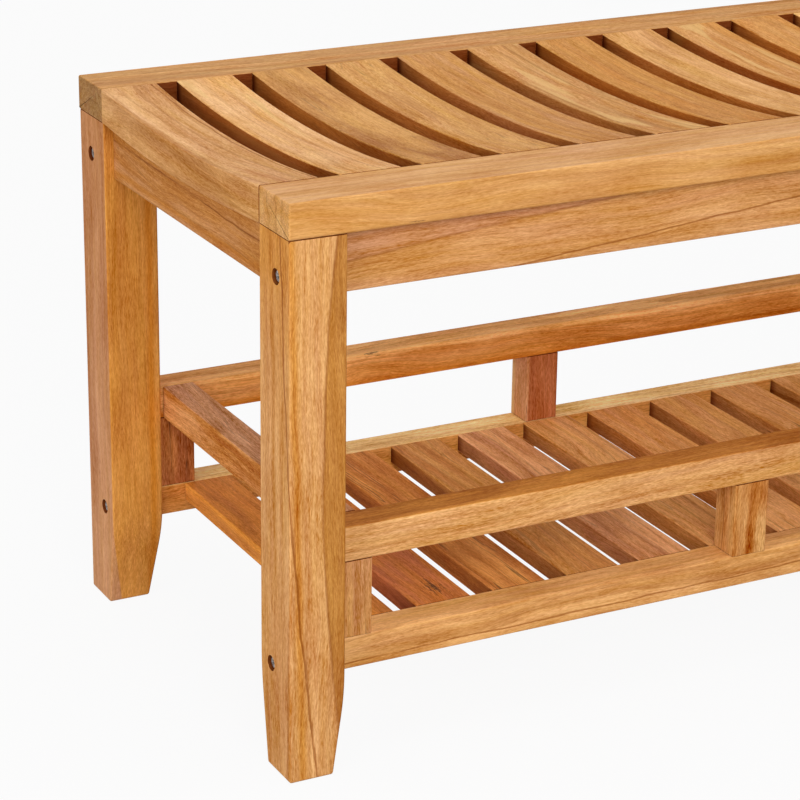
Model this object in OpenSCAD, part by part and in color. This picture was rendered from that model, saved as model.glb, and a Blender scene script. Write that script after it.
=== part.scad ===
// Teak shower bench: a dished, slatted seat on four legs, with a slatted shelf basket between the legs.
// All sizes are in millimetres. +X runs along the bench, +Y from its front to its back, and +Z up.
// The origin is on the floor, under the middle of the bench.

/* [Bench] */
// Length over the ends of the seat rails
bench_l = 854; // [800:1:960]
// Depth over the outer faces of the seat rails
bench_d = 406; // [360:1:460]
// Height of the seat rails' top faces above the floor
bench_h = 457; // [420:1:500]
// Radius of the eased long edges of legs, rails and posts
edge_r = 2; // [1:0.25:3]

/* [Seat] */
// Width of a seat rail, front to back
seat_rail_w = 51; // [50:0.5:56]
// Thickness of a seat rail, and of a seat slat at its ends
seat_rail_t = 28; // [26:0.5:32]
// Radius of a seat rail's lower outer edge
seat_rail_r = 5; // [2:0.5:8]
// Number of slats between the two end slats
seat_slat_n = 11; // [9:1:12]
// Width of each end slat
seat_end_w = 47.75; // [45:0.25:52]
// Drain gap beside each slat
seat_gap = 18; // [14:0.5:22]
// Depth of the dish in the slats' top faces
dish_top = 9; // [4:0.5:11]
// Depth of the belly under the slats
dish_under = 6.5; // [3:0.5:9]

/* [Legs] */
// Width of a leg along the bench
leg_x = 46; // [46:1:52]
// Depth of a leg, front to back
leg_y = 52; // [52:1:58]
// Set-back of a leg's outer faces from the seat rails' faces
leg_set = 0.5; // [0:0.25:2]
// Taper of the foot along the bench
foot_taper_x = 9.5; // [4:0.5:12]
// Taper of the foot, front to back
foot_taper_y = 11.5; // [4:0.5:14]
// Height of the bend above the taper along the bench
foot_bend_x = 66; // [60:1:70]
// Height of the bend above the taper, front to back
foot_bend_y = 76; // [60:1:80]

/* [Aprons] */
// Thickness of an apron
apron_t = 22; // [18:0.5:22]
// Height of an apron's lower edge above the floor
apron_z = 381; // [370:1:390]
// Set-back of the front and back aprons from the seat rails' faces
apron_set_y = 13; // [11:0.5:14]
// Set-back of the end aprons from the seat rails' ends
apron_set_x = 9; // [8:0.5:12]

/* [Shelf basket] */
// Width of a shelf rail or a rim rail
basket_w = 28; // [26:0.5:30]
// Set-back of the basket's outer faces from the seat rails' faces
basket_set = 20; // [16:0.5:22]
// Height of the shelf rails' lower faces above the floor
shelf_z = 76; // [70:1:100]
// Height of a shelf rail
shelf_rail_h = 26; // [24:0.5:30]
// Number of shelf slats between the two end slats
shelf_slat_n = 9; // [7:1:10]
// Width of each shelf end slat
shelf_end_w = 42.75; // [40:0.25:48]
// Thickness of a shelf slat
shelf_slat_t = 16; // [14:0.5:18]
// Gap beside each shelf slat
shelf_gap = 20.5; // [16:0.5:24]
// Set-back of the shelf end slats from the seat rails' ends
shelf_set_x = 69; // [64:1:74]
// Height of the rim rails' lower faces above the floor
rim_z = 165; // [150:1:190]
// Height of a rim rail
rim_h = 28; // [26:0.5:32]
// Slit between a leg and the end rim rail
rim_slit = 3.5; // [2:0.5:8]
// Width of a post along the bench
post_w = 32; // [28:0.5:34]
// How far the middle posts' middles stand to the left of the bench's middle
mid_post_off = 5; // [0:0.5:8]

/* [Fasteners] */
// Diameter of the dowels between legs and seat rails
leg_dowel_d = 10; // [8:1:10]
// Diameter of the dowels at the ends of the posts
post_dowel_d = 8; // [6:1:8]
// Shank diameter of the leg screws
screw_d = 5; // [4:0.5:5.5]
// Length of the leg screws under the head
screw_l = 64; // [58:1:75]
// Diameter of the recess round a screw head
recess_d = 12; // [10:0.5:13]
// Height of the upper leg screws above the floor
upper_screw_z = 396.5; // [392:0.5:400]
// Height of the lower leg screws above the floor
lower_screw_z = 87; // [84:0.5:92]

/* [Hidden] */
$fn = 48;
// Number of flats that make up the curve of a dish or a belly
dish_steps = 24;
// How far a cutting shape runs past the face that it cuts
over = 1;
// Glue line round a tenon or a dowel
glue = 0.1;

seat_z = bench_h - seat_rail_t;
seat_span = bench_d - 2 * seat_rail_w;
seat_slat_w = (bench_l - 2 * seat_end_w - (seat_slat_n + 1) * seat_gap) / seat_slat_n;
// Flat land between a rail and the start of a slat's dish
dish_land = 2;
seat_tenon = [6, 12, 12];

leg_in_x = leg_set + leg_x;
leg_in_y = leg_set + leg_y;
leg_gap_x = bench_l - 2 * leg_in_x;
leg_gap_y = bench_d - 2 * leg_in_y;
foot_bend_h = 18;
foot_bend_steps = 6;

apron_h = seat_z - apron_z;
// The end aprons' top edges follow the slats' bellies, this far below them
apron_play = 0.2;
end_tenon_t = 10;
end_tenon_l = 20;
end_tenon_h = 22;
front_tenon_t = 10;
front_tenon_l = 8;
front_tenon_h = 34;
tenon_foot = 6;

basket_span = bench_d - 2 * (basket_set + basket_w);
shelf_top = shelf_z + shelf_rail_h;
shelf_l = bench_l - 2 * shelf_set_x;
shelf_slat_w = (shelf_l - 2 * shelf_end_w - (shelf_slat_n + 1) * shelf_gap) / shelf_slat_n;
shelf_tenon = [5, 8, 8];
rim_tenon = [6, 8, 14];
post_h = rim_z - shelf_top;
post_line = basket_set + basket_w / 2;
// Distances of the posts' middles from the bench's left end
post_x = [leg_in_x + post_w / 2, bench_l / 2 - mid_post_off, bench_l - leg_in_x - post_w / 2];

leg_dowel_l = 34;
leg_dowel_x = leg_set + leg_x / 2;
leg_dowel_y = [11, 24.5];
post_dowel_l = 28;
post_dowel_in_rail = 12;
dowel_chamfer = 1;
dowel_room = 1;

recess_depth = 5;
head_d = 9.5;
head_h = 3;
screw_tip = 5;
screw_point_d = 1;
cross_w = 1.3;
cross_l = 5.2;
cross_depth = 1.8;
upper_screw_y = apron_set_y + apron_t / 2;

SEAT_TEAK = [0.86, 0.66, 0.44];
LEG_TEAK = [0.84, 0.60, 0.36];
APRON_TEAK = [0.74, 0.47, 0.26];
SHELF_TEAK = [0.67, 0.39, 0.22];
RIM_TEAK = [0.80, 0.55, 0.31];
DOWEL_WOOD = [0.87, 0.76, 0.58];
SCREW_STEEL = [0.62, 0.62, 0.64];

SIDES = ["front", "back"];
ENDS = ["left", "right"];
POSTS = ["left", "mid", "right"];
SEAT_SLATS = [for (i = [1:seat_slat_n]) str("seat_slat_", two_digits(i))];
SHELF_SLATS = [for (i = [1:shelf_slat_n]) str("shelf_slat_", two_digits(i))];

function two_digits(i) = str(i < 10 ? "0" : "", i);

// Points [Y, Z] of a shallow curve that hangs by its depth between the lands, in dish_steps flats
function hanging_curve(depth, height) = [
    for (i = [0:dish_steps])
        let (u = 2 * i / dish_steps - 1)
            [seat_span / 2 + u * (seat_span / 2 - dish_land), height - depth * (1 - u * u)]
];

function reversed(list) = [for (i = [len(list) - 1:-1:0]) list[i]];

function curve_point(a, b, c, t) = (1 - t) * (1 - t) * a + 2 * (1 - t) * t * b + t * t * c;

// Left edge of a slat, from the bench's left end, where slat 0 is the left end slat
function seat_slat_x(i) = i == 0 ? 0 : seat_end_w + seat_gap + (i - 1) * (seat_slat_w + seat_gap);
function seat_width(i) = i == 0 || i == seat_slat_n + 1 ? seat_end_w : seat_slat_w;
function shelf_slat_x(i) =
    shelf_set_x + (i == 0 ? 0 : shelf_end_w + shelf_gap + (i - 1) * (shelf_slat_w + shelf_gap));
function shelf_width(i) = i == 0 || i == shelf_slat_n + 1 ? shelf_end_w : shelf_slat_w;

// Children measured from the floor under the outer corner at one end and one side of the bench,
// with +X and +Y pointing into the bench
module corner(side, end) {
    mirror([end == "left" ? 0 : 1, 0, 0])
        mirror([0, side == "front" ? 0 : 1, 0])
            translate([-bench_l / 2, -bench_d / 2, 0])
                children();
}

module each_corner() {
    for (side = SIDES, end = ENDS)
        corner(side, end)
            children();
}

// Rectangle whose corners have their own radii: lower left, lower right, upper right, upper left
module eased_rect(size, radii) {
    difference() {
        square(size);
        for (i = [0:3])
            translate([i == 1 || i == 2 ? size[0] : 0, i > 1 ? size[1] : 0])
                mirror([i == 1 || i == 2 ? 1 : 0, 0])
                    mirror([0, i > 1 ? 1 : 0])
                        difference() {
                            translate([-over, -over])
                                square(radii[i] + over);
                            translate([radii[i], radii[i]])
                                circle(radii[i]);
                        }
    }
}

// A profile drawn as [Y, Z] and run along X
module run_x(length) {
    rotate([90, 0, 90])
        linear_extrude(length)
            children();
}

// A profile drawn as [X, Z] and run along Y
module run_y(length) {
    translate([0, length, 0])
        rotate([90, 0, 0])
            linear_extrude(length)
                children();
}

module bar_x(size, radii) {
    run_x(size[0])
        eased_rect([size[1], size[2]], radii);
}

// Tenon or, with a glue line, its mortise, centred on [X, Z] and running from y_0 to y_1
module tenon_y(x, z, width, height, y_0, y_1, play = 0) {
    translate([x - width / 2 - play, y_0 - play, z - height / 2 - play])
        cube([width + 2 * play, y_1 - y_0 + 2 * play, height + 2 * play]);
}

// ---- Legs ----

// Waste of a foot's taper, drawn as [distance into the leg, height]
module foot_waste(taper, bend_z) {
    slope = taper / bend_z;
    bend_top = [0, bend_z + foot_bend_h];
    bend_foot = [slope * foot_bend_h, bend_z - foot_bend_h];
    bend = [
        for (i = [0:foot_bend_steps])
            curve_point(bend_top, [0, bend_z], bend_foot, i / foot_bend_steps)
    ];
    polygon(concat(
        [[-over, -over], [-over, bend_z + foot_bend_h]],
        bend,
        [[taper + slope * over, -over]]
    ));
}

module leg_blank() {
    difference() {
        translate([leg_set, leg_set, 0])
            linear_extrude(seat_z)
                eased_rect([leg_x, leg_y], [edge_r, edge_r, edge_r, edge_r]);
        translate([leg_in_x, 0, 0])
            mirror([1, 0, 0])
                run_y(leg_in_y + over)
                    foot_waste(foot_taper_x, foot_bend_x);
        translate([0, leg_in_y, 0])
            mirror([0, 1, 0])
                run_x(leg_in_x + over)
                    foot_waste(foot_taper_y, foot_bend_y);
    }
}

// Stub tenon at the end of the front or back apron, from x_0 to x_1
module front_apron_tenon(x_0, x_1, play = 0) {
    translate([x_0 - play, upper_screw_y - front_tenon_t / 2 - play, apron_z + tenon_foot - play])
        cube([x_1 - x_0 + 2 * play, front_tenon_t + 2 * play, front_tenon_h + 2 * play]);
}

module end_apron_tenon(play = 0) {
    tenon_y(
        apron_set_x + apron_t / 2, apron_z + tenon_foot + end_tenon_h / 2,
        end_tenon_t, end_tenon_h,
        leg_in_y - end_tenon_l, leg_in_y + over, play
    );
}

module leg(side, end) {
    color(LEG_TEAK)
        corner(side, end)
            difference() {
                leg_blank();
                leg_dowel_holes();
                front_apron_tenon(leg_in_x - front_tenon_l, leg_in_x + over, glue);
                end_apron_tenon(glue);
                screw_hole(upper_screw_y, upper_screw_z);
                screw_hole(post_line, lower_screw_z);
            }
}

// ---- Seat ----

// Side view of a seat slat between the rails, from [0, 0] at the front rail's lower inner edge
module dished_profile() {
    polygon(concat(
        [[0, 0]],
        hanging_curve(dish_under, 0),
        [[seat_span, 0], [seat_span, seat_rail_t]],
        reversed(hanging_curve(dish_top, seat_rail_t)),
        [[0, seat_rail_t]]
    ));
}

// Tenons at both ends of seat slat i, or, with a glue line, the mortises for them
module seat_slat_tenons(i, play = 0) {
    middle = seat_slat_x(i) + seat_width(i) / 2;
    for (side = SIDES)
        corner(side, "left")
            tenon_y(
                middle, seat_z + seat_rail_t / 2,
                seat_width(i) - 2 * seat_tenon[0], seat_tenon[2],
                seat_rail_w - seat_tenon[1], seat_rail_w, play
            );
}

module seat_slat(i) {
    color(SEAT_TEAK) {
        translate([seat_slat_x(i) - bench_l / 2, -seat_span / 2, seat_z])
            run_x(seat_width(i))
                dished_profile();
        seat_slat_tenons(i);
    }
}

module seat_rail(side) {
    color(SEAT_TEAK)
        difference() {
            corner(side, "left")
                translate([0, 0, seat_z])
                    bar_x(
                        [bench_l, seat_rail_w, seat_rail_t],
                        [seat_rail_r, edge_r / 4, edge_r / 4, edge_r]
                    );
            for (i = [0:seat_slat_n + 1])
                seat_slat_tenons(i, glue);
            each_corner()
                leg_dowel_holes();
        }
}

// ---- Aprons ----

module apron_side(side) {
    color(APRON_TEAK)
        corner(side, "left")
            difference() {
                union() {
                    translate([leg_in_x, apron_set_y, apron_z])
                        cube([leg_gap_x, apron_t, apron_h]);
                    front_apron_tenon(leg_in_x - front_tenon_l, bench_l - leg_in_x + front_tenon_l);
                }
                screw_hole(upper_screw_y, upper_screw_z);
                translate([bench_l, 0, 0])
                    mirror([1, 0, 0])
                        screw_hole(upper_screw_y, upper_screw_z);
            }
}

module apron_end(end) {
    color(APRON_TEAK) {
        corner("front", end)
            difference() {
                translate([apron_set_x, leg_in_y, apron_z])
                    cube([apron_t, leg_gap_y, apron_h]);
                translate([0, seat_rail_w, seat_z - apron_play])
                    run_x(apron_set_x + apron_t + over)
                        dished_profile();
            }
        for (side = SIDES)
            corner(side, end)
                end_apron_tenon();
    }
}

// ---- Shelf basket ----

module shelf_slat_tenons(i, play = 0) {
    middle = shelf_slat_x(i) + shelf_width(i) / 2;
    for (side = SIDES)
        corner(side, "left")
            tenon_y(
                middle, shelf_top - shelf_slat_t / 2,
                shelf_width(i) - 2 * shelf_tenon[0], shelf_tenon[2],
                basket_set + basket_w - shelf_tenon[1], basket_set + basket_w, play
            );
}

module shelf_slat(i) {
    color(SHELF_TEAK) {
        translate([shelf_slat_x(i) - bench_l / 2, -basket_span / 2, shelf_top - shelf_slat_t])
            cube([shelf_width(i), basket_span, shelf_slat_t]);
        shelf_slat_tenons(i);
    }
}

module shelf_rail(side) {
    color(RIM_TEAK)
        difference() {
            corner(side, "left")
                translate([leg_in_x, basket_set, shelf_z])
                    bar_x([leg_gap_x, basket_w, shelf_rail_h], [edge_r, edge_r, edge_r / 4, edge_r]);
            for (i = [0:shelf_slat_n + 1])
                shelf_slat_tenons(i, glue);
            post_dowel_holes();
            each_corner()
                screw_hole(post_line, lower_screw_z);
        }
}

module post(side, place) {
    color(SHELF_TEAK)
        difference() {
            corner(side, "left")
                translate([post_x[place] - post_w / 2, basket_set, shelf_top])
                    linear_extrude(post_h)
                        eased_rect([post_w, basket_w], [edge_r, edge_r, edge_r, edge_r]);
            post_dowel_holes();
        }
}

module rim_end_tenons(end, play = 0) {
    for (side = SIDES)
        corner(side, end)
            tenon_y(
                leg_in_x + rim_slit + basket_w / 2, rim_z + rim_h / 2,
                basket_w - 2 * rim_tenon[0], rim_tenon[2],
                basket_set + basket_w - rim_tenon[1], basket_set + basket_w, play
            );
}

module rim_rail_side(side) {
    color(RIM_TEAK)
        difference() {
            corner(side, "left")
                translate([leg_in_x, basket_set, rim_z])
                    bar_x([leg_gap_x, basket_w, rim_h], [edge_r, edge_r, edge_r / 4, edge_r]);
            for (end = ENDS)
                rim_end_tenons(end, glue);
            post_dowel_holes();
        }
}

module rim_rail_end(end) {
    color(RIM_TEAK) {
        corner("front", end)
            translate([leg_in_x + rim_slit, basket_set + basket_w, rim_z])
                run_y(basket_span)
                    eased_rect([basket_w, rim_h], [edge_r, edge_r, edge_r / 4, edge_r / 4]);
        rim_end_tenons(end);
    }
}

// ---- Dowels and screws ----

module dowel(diameter, length) {
    radius = diameter / 2;
    rotate_extrude()
        polygon([
            [0, 0],
            [radius - dowel_chamfer, 0],
            [radius, dowel_chamfer],
            [radius, length - dowel_chamfer],
            [radius - dowel_chamfer, length],
            [0, length]
        ]);
}

module dowel_hole(diameter, length) {
    translate([0, 0, -dowel_room])
        cylinder(d = diameter + 2 * glue, h = length + 2 * dowel_room);
}

// Children at the foot of each dowel between a leg and a seat rail
module at_leg_dowels() {
    for (y = leg_dowel_y)
        translate([leg_dowel_x, y, seat_z - leg_dowel_l / 2])
            children();
}

module leg_dowel_holes() {
    at_leg_dowels()
        dowel_hole(leg_dowel_d, leg_dowel_l);
}

module leg_dowels() {
    color(DOWEL_WOOD)
        each_corner()
            at_leg_dowels()
                dowel(leg_dowel_d, leg_dowel_l);
}

// Children at the foot of each dowel between a post and the rails above and below it
module at_post_dowels() {
    for (side = SIDES, x = post_x)
        corner(side, "left")
            for (z = [shelf_top - post_dowel_in_rail, rim_z + post_dowel_in_rail - post_dowel_l])
                translate([x, post_line, z])
                    children();
}

module post_dowel_holes() {
    at_post_dowels()
        dowel_hole(post_dowel_d, post_dowel_l);
}

module post_dowels() {
    color(DOWEL_WOOD)
        at_post_dowels()
            dowel(post_dowel_d, post_dowel_l);
}

// Recess, clearance hole and pilot hole for a screw through a leg's end face at [Y, Z]
module screw_hole(y, z) {
    translate([leg_set, y, z])
        rotate([0, 90, 0]) {
            translate([0, 0, -over])
                cylinder(d = recess_d, h = recess_depth + over);
            cylinder(d = screw_d + 2 * glue, h = recess_depth + screw_l + over);
        }
}

module wood_screw() {
    difference() {
        cylinder(d = head_d, h = head_h);
        for (turn = [0, 90])
            rotate(turn)
                translate([-cross_l / 2, -cross_w / 2, -over])
                    cube([cross_l, cross_w, cross_depth + over]);
    }
    translate([0, 0, head_h])
        cylinder(d = screw_d, h = screw_l - screw_tip);
    translate([0, 0, head_h + screw_l - screw_tip])
        cylinder(d1 = screw_d, d2 = screw_point_d, h = screw_tip);
}

module leg_screws(y, z) {
    color(SCREW_STEEL)
        each_corner()
            translate([leg_set + recess_depth - head_h, y, z])
                rotate([0, 90, 0])
                    wood_screw();
}

// ---- The bench ----

for (side = SIDES, end = ENDS)
    leg(side, end);
for (side = SIDES)
    seat_rail(side);
seat_slat(0);  // seat_end_slat_left
seat_slat(seat_slat_n + 1);  // seat_end_slat_right
for (i = [1:seat_slat_n])
    seat_slat(i);
for (side = SIDES)
    apron_side(side);
for (end = ENDS)
    apron_end(end);
for (side = SIDES)
    shelf_rail(side);
shelf_slat(0);  // shelf_end_slat_left
shelf_slat(shelf_slat_n + 1);  // shelf_end_slat_right
for (i = [1:shelf_slat_n])
    shelf_slat(i);
for (side = SIDES, place = [0:2])
    post(side, place);
for (side = SIDES)
    rim_rail_side(side);
for (end = ENDS)
    rim_rail_end(end);
leg_dowels();
post_dowels();
leg_screws(upper_screw_y, upper_screw_z);  // apron_screws
leg_screws(post_line, lower_screw_z);  // shelf_screws
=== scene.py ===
"""Models and finishes the parts of a teak shower bench, and sets it in a plain studio.

All places are in metres. +X runs along the bench, +Y from its front to its back, and +Z up.
"""

import random
from contextlib import contextmanager
from math import cos, radians, sin
from typing import NamedTuple

import bmesh
import bpy
from mathutils import Matrix, Vector


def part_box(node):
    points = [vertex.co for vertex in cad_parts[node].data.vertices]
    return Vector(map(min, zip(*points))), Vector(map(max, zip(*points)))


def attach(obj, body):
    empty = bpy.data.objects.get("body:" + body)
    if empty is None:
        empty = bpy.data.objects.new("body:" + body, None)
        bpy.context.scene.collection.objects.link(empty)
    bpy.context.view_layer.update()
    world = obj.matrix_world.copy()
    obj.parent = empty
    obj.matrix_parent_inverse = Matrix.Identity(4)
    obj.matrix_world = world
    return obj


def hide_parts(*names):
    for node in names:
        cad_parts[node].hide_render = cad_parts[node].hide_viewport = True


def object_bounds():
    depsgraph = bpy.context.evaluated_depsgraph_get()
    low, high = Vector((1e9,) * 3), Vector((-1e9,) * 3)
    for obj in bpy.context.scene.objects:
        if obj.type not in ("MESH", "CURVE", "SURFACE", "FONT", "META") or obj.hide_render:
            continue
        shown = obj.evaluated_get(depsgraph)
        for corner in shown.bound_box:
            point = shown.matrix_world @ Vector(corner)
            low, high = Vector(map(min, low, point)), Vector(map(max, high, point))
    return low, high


bl_info = {
    "name": "Teak Shower Bench",
    "version": (1, 0, 0),
    "blender": (4, 5, 0),
    "location": "3D View > Sidebar > Bench",
    "description": "Models and finishes the boards, screws and dowels of a slatted teak bench",
    "category": "Object",
}

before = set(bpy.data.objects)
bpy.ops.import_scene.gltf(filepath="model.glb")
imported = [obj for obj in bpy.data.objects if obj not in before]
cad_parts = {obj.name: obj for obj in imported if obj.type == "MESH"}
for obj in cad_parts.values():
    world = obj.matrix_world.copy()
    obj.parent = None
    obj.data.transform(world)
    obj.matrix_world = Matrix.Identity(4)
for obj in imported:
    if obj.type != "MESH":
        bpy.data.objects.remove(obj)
CAD_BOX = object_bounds()


class TenonSize(NamedTuple):
    """A tenon: the shoulders beside it, and its own length and thickness."""

    shoulder: float
    length: float
    thickness: float


MM = 0.001
X, Y, Z = 0, 1, 2
NEAR = 0.02 * MM
LOW, HIGH = CAD_BOX

SIDES = ("front", "back")
ENDS = ("left", "right")
POSTS = ("left", "mid", "right")
SEAT_SLATS = [f"seat_slat_{number:02d}" for number in range(1, 12)]
SEAT_END_SLATS = [f"seat_end_slat_{end}" for end in ENDS]
SHELF_SLATS = [f"shelf_slat_{number:02d}" for number in range(1, 10)]
SHELF_END_SLATS = [f"shelf_end_slat_{end}" for end in ENDS]

# Sizes that part.scad gives
LEG_SET = 0.5 * MM
LEG_IN = Vector((46.5, 52.5, 0)) * MM
SEAT_Z = 429 * MM
SEAT_T = 28 * MM
SEAT_RAIL_W = 51 * MM
DISH_TOP = 9 * MM
DISH_UNDER = 6.5 * MM
DISH_LAND = 2 * MM
DISH_STEPS = 24
SEAT_TENON = TenonSize(6 * MM, 12 * MM, 12 * MM)
SHELF_TENON = TenonSize(5 * MM, 8 * MM, 8 * MM)
RIM_TENON = TenonSize(6 * MM, 8 * MM, 14 * MM)
APRON_T = 22 * MM
APRON_Z = 381 * MM
APRON_SET_X = 9 * MM
FRONT_TENON = Vector((8, 10, 34)) * MM
END_TENON = Vector((10, 20, 22)) * MM
TENON_FOOT = 6 * MM
FOOT_TAPER = Vector((9.5, 11.5)) * MM
FOOT_BEND = Vector((66, 76)) * MM
FOOT_BEND_H = 18 * MM
FOOT_BEND_STEPS = 6
SHELF_TOP = 102 * MM
RIM_Z = 165 * MM
POST_LINE = 34 * MM
LEG_DOWEL = Vector((10, 34)) * MM
LEG_DOWEL_X = 23.5 * MM
LEG_DOWEL_Y = (11 * MM, 24.5 * MM)
POST_DOWEL = Vector((8, 28)) * MM
POST_DOWEL_IN_RAIL = 12 * MM
RECESS_D = 12 * MM
RECESS_DEPTH = 5 * MM
SCREW_D = 5 * MM
SCREW_L = 64 * MM
SCREW_POINT = 5 * MM
HEAD_D = 9.5 * MM
HEAD_H = 3 * MM
UPPER_SCREW = (24 * MM, 396.5 * MM)
LOWER_SCREW = (POST_LINE, 87 * MM)
GLUE = 0.1 * MM

# Sizes of details that only this file makes
SHOULDER_GAP = 0.35 * MM  # dark line where a board's end meets another board
SPARE = 1 * MM  # how far a cutter reaches past a face, or past the end of what it holds
APRON_CLEAR = 0.2 * MM  # between an end apron and the belly of its slat
TENON_TIP = 1 * MM  # length of a tenon that is tapered
TENON_TAPER = 1.6 * MM  # by which its tip is thinner
INSET = 5 * MM  # first inset of an end face, which is then stretched to the tenon's section
SHELF_INSET = 3 * MM
RIM_SLACK = 0.3 * MM  # within which an edge or a face belongs to a screw's recess
RECESS_LIP = 0.1 * MM  # deeper than this, a face is inside the recess
CROSS_BARS = (Vector((0, 3.0, 0.85)) * MM, Vector((0, 0.85, 3.0)) * MM)  # half sizes
CROSS_DEPTH = 1.8 * MM
CROSS_START = 1 * MM  # before the head's face
HEAD_EASE = 1.1 * MM

DISH_REACH = HIGH.y - SEAT_RAIL_W - DISH_LAND
DISH_RINGS = [DISH_REACH * (2 * step / DISH_STEPS - 1) for step in range(DISH_STEPS + 1)]


class EasedEdges(bpy.types.PropertyGroup):
    """Radii of the boards' rounded edges"""

    rail: bpy.props.FloatProperty(
        name="Rails", description="Radius of the long outer edges of rails and posts",
        default=1.2 * MM, min=0.2 * MM, max=4 * MM, unit="LENGTH", precision=4,
    )
    rail_under: bpy.props.FloatProperty(
        name="Under Seat Rails", description="Radius of a seat rail's lower outer edge",
        default=2.6 * MM, min=1 * MM, max=8 * MM, unit="LENGTH", precision=4,
    )
    rail_end: bpy.props.FloatProperty(
        name="Seat Rail Ends", description="Radius of the edges round a seat rail's end grain",
        default=1.5 * MM, min=0.2 * MM, max=3 * MM, unit="LENGTH", precision=4,
    )
    leg: bpy.props.FloatProperty(
        name="Legs", description="Radius of the long edges of a leg",
        default=1.8 * MM, min=0.2 * MM, max=4 * MM, unit="LENGTH", precision=4,
    )
    slat: bpy.props.FloatProperty(
        name="Seat Slats", description="Radius of the long upper edges of a seat slat",
        default=0.9 * MM, min=0.2 * MM, max=4 * MM, unit="LENGTH", precision=4,
    )
    shelf: bpy.props.FloatProperty(
        name="Shelf Slats", description="Radius of the long edges of a shelf slat",
        default=1.2 * MM, min=0.2 * MM, max=4 * MM, unit="LENGTH", precision=4,
    )
    apron: bpy.props.FloatProperty(
        name="Aprons", description="Radius of the lower edges of an apron",
        default=1.4 * MM, min=0.2 * MM, max=4 * MM, unit="LENGTH", precision=4,
    )
    joint: bpy.props.FloatProperty(
        name="Joints", description="Radius of the edges where boards meet",
        default=0.45 * MM, min=0.1 * MM, max=1 * MM, unit="LENGTH", precision=5,
    )
    recess: bpy.props.FloatProperty(
        name="Screw Recesses", description="Radius of the rim of a screw recess",
        default=0.4 * MM, min=0.1 * MM, max=1 * MM, unit="LENGTH", precision=5,
    )


def teak_colour(name, description, colour):
    return bpy.props.FloatVectorProperty(
        name=name, description=description, default=colour, size=3, min=0, max=1, subtype="COLOR"
    )


class TeakColours(bpy.types.PropertyGroup):
    """Colours of oiled teak, from sapwood to dark heartwood"""

    straw: teak_colour("Straw", "Pale yellow board", (0.84, 0.44, 0.149))
    honey: teak_colour("Honey", "Golden board", (0.71, 0.335, 0.095))
    rose: teak_colour("Rose", "Pale pinkish board", (0.80, 0.395, 0.139))
    blush: teak_colour("Blush", "Pale greyish pink board", (0.75, 0.39, 0.156))
    amber: teak_colour("Amber", "Deep golden board", (0.64, 0.26, 0.058))
    gold: teak_colour("Gold", "Golden face of a leg", (0.665, 0.272, 0.051))
    ochre: teak_colour("Ochre", "Deeper golden face of a leg", (0.555, 0.221, 0.042))
    tan: teak_colour("Tan", "Olive tan board", (0.62, 0.29, 0.09))
    mauve: teak_colour("Mauve", "Greyish pink brown board", (0.58, 0.26, 0.112))
    copper: teak_colour("Copper", "Deep orange board", (0.62, 0.225, 0.035))
    russet: teak_colour("Russet", "Reddish brown board", (0.55, 0.20, 0.042))
    chestnut: teak_colour("Chestnut", "Dark reddish brown board", (0.44, 0.133, 0.042))
    vein: teak_colour("Vein", "Thin dark mineral streaks", (0.085, 0.030, 0.012))
    sapwood: teak_colour("Sapwood", "Pale streaks beside the heartwood", (0.84, 0.55, 0.22))
    knot: teak_colour("Knot", "Heart of a knot", (0.07, 0.032, 0.018))


class TeakGrain(bpy.types.PropertyGroup):
    """Sizes of the marks in the teak's surface"""

    ring: bpy.props.FloatProperty(
        name="Ring Spacing", description="Width of a growth ring, in millimetres",
        default=6.5, min=1, max=12,
    )
    wander: bpy.props.FloatProperty(
        name="Wander", description="How far the fibres sway off a straight line, in millimetres",
        default=24.0, min=0, max=40,
    )
    bump: bpy.props.FloatProperty(
        name="Pore Depth", description="Depth of the open pores",
        default=0.09 * MM, min=0, max=0.4 * MM, unit="LENGTH", precision=5,
    )
    gloss: bpy.props.FloatProperty(
        name="Oil Roughness", description="Roughness of the oiled surface",
        default=0.55, min=0.2, max=0.8, subtype="FACTOR",
    )


class Studio(bpy.types.PropertyGroup):
    """Camera and light"""

    camera_place: bpy.props.FloatVectorProperty(
        name="Camera", description="Place of the camera",
        default=(-1.2266, -1.9053, 1.0186), size=3, subtype="TRANSLATION", unit="LENGTH",
    )
    camera_azimuth: bpy.props.FloatProperty(
        name="Azimuth", description="Turn of the view about the vertical",
        default=radians(-27.576), subtype="ANGLE",
    )
    camera_elevation: bpy.props.FloatProperty(
        name="Elevation", description="How far the view looks down",
        default=radians(20.61), subtype="ANGLE",
    )
    camera_roll: bpy.props.FloatProperty(
        name="Roll", description="Turn of the picture about the line of sight",
        default=radians(0.79), subtype="ANGLE",
    )
    lens: bpy.props.FloatProperty(
        name="Lens", description="Focal length on a sensor 36 mm wide",
        default=126.1, min=20, max=300, unit="CAMERA",
    )
    sky: bpy.props.FloatProperty(
        name="Sky", description="Strength of the soft light from all round",
        default=0.5, min=0, max=2,
    )
    key: bpy.props.FloatProperty(
        name="Key Light", description="Strength of the large light in front",
        default=1.0, min=0, max=4,
    )


# ---- Modelling by hand ----


def select_only(*pieces):
    bpy.ops.object.select_all(action="DESELECT")
    for piece in pieces:
        piece.select_set(True)
    bpy.context.view_layer.objects.active = pieces[0]


@contextmanager
def editing(piece, kind):
    """Edit mode on a piece, with nothing selected in it."""
    select_only(piece)
    bpy.ops.object.mode_set(mode="EDIT")
    bpy.ops.mesh.select_mode(type=kind)
    bpy.ops.mesh.select_all(action="DESELECT")
    yield
    bpy.ops.object.mode_set(mode="OBJECT")


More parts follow.
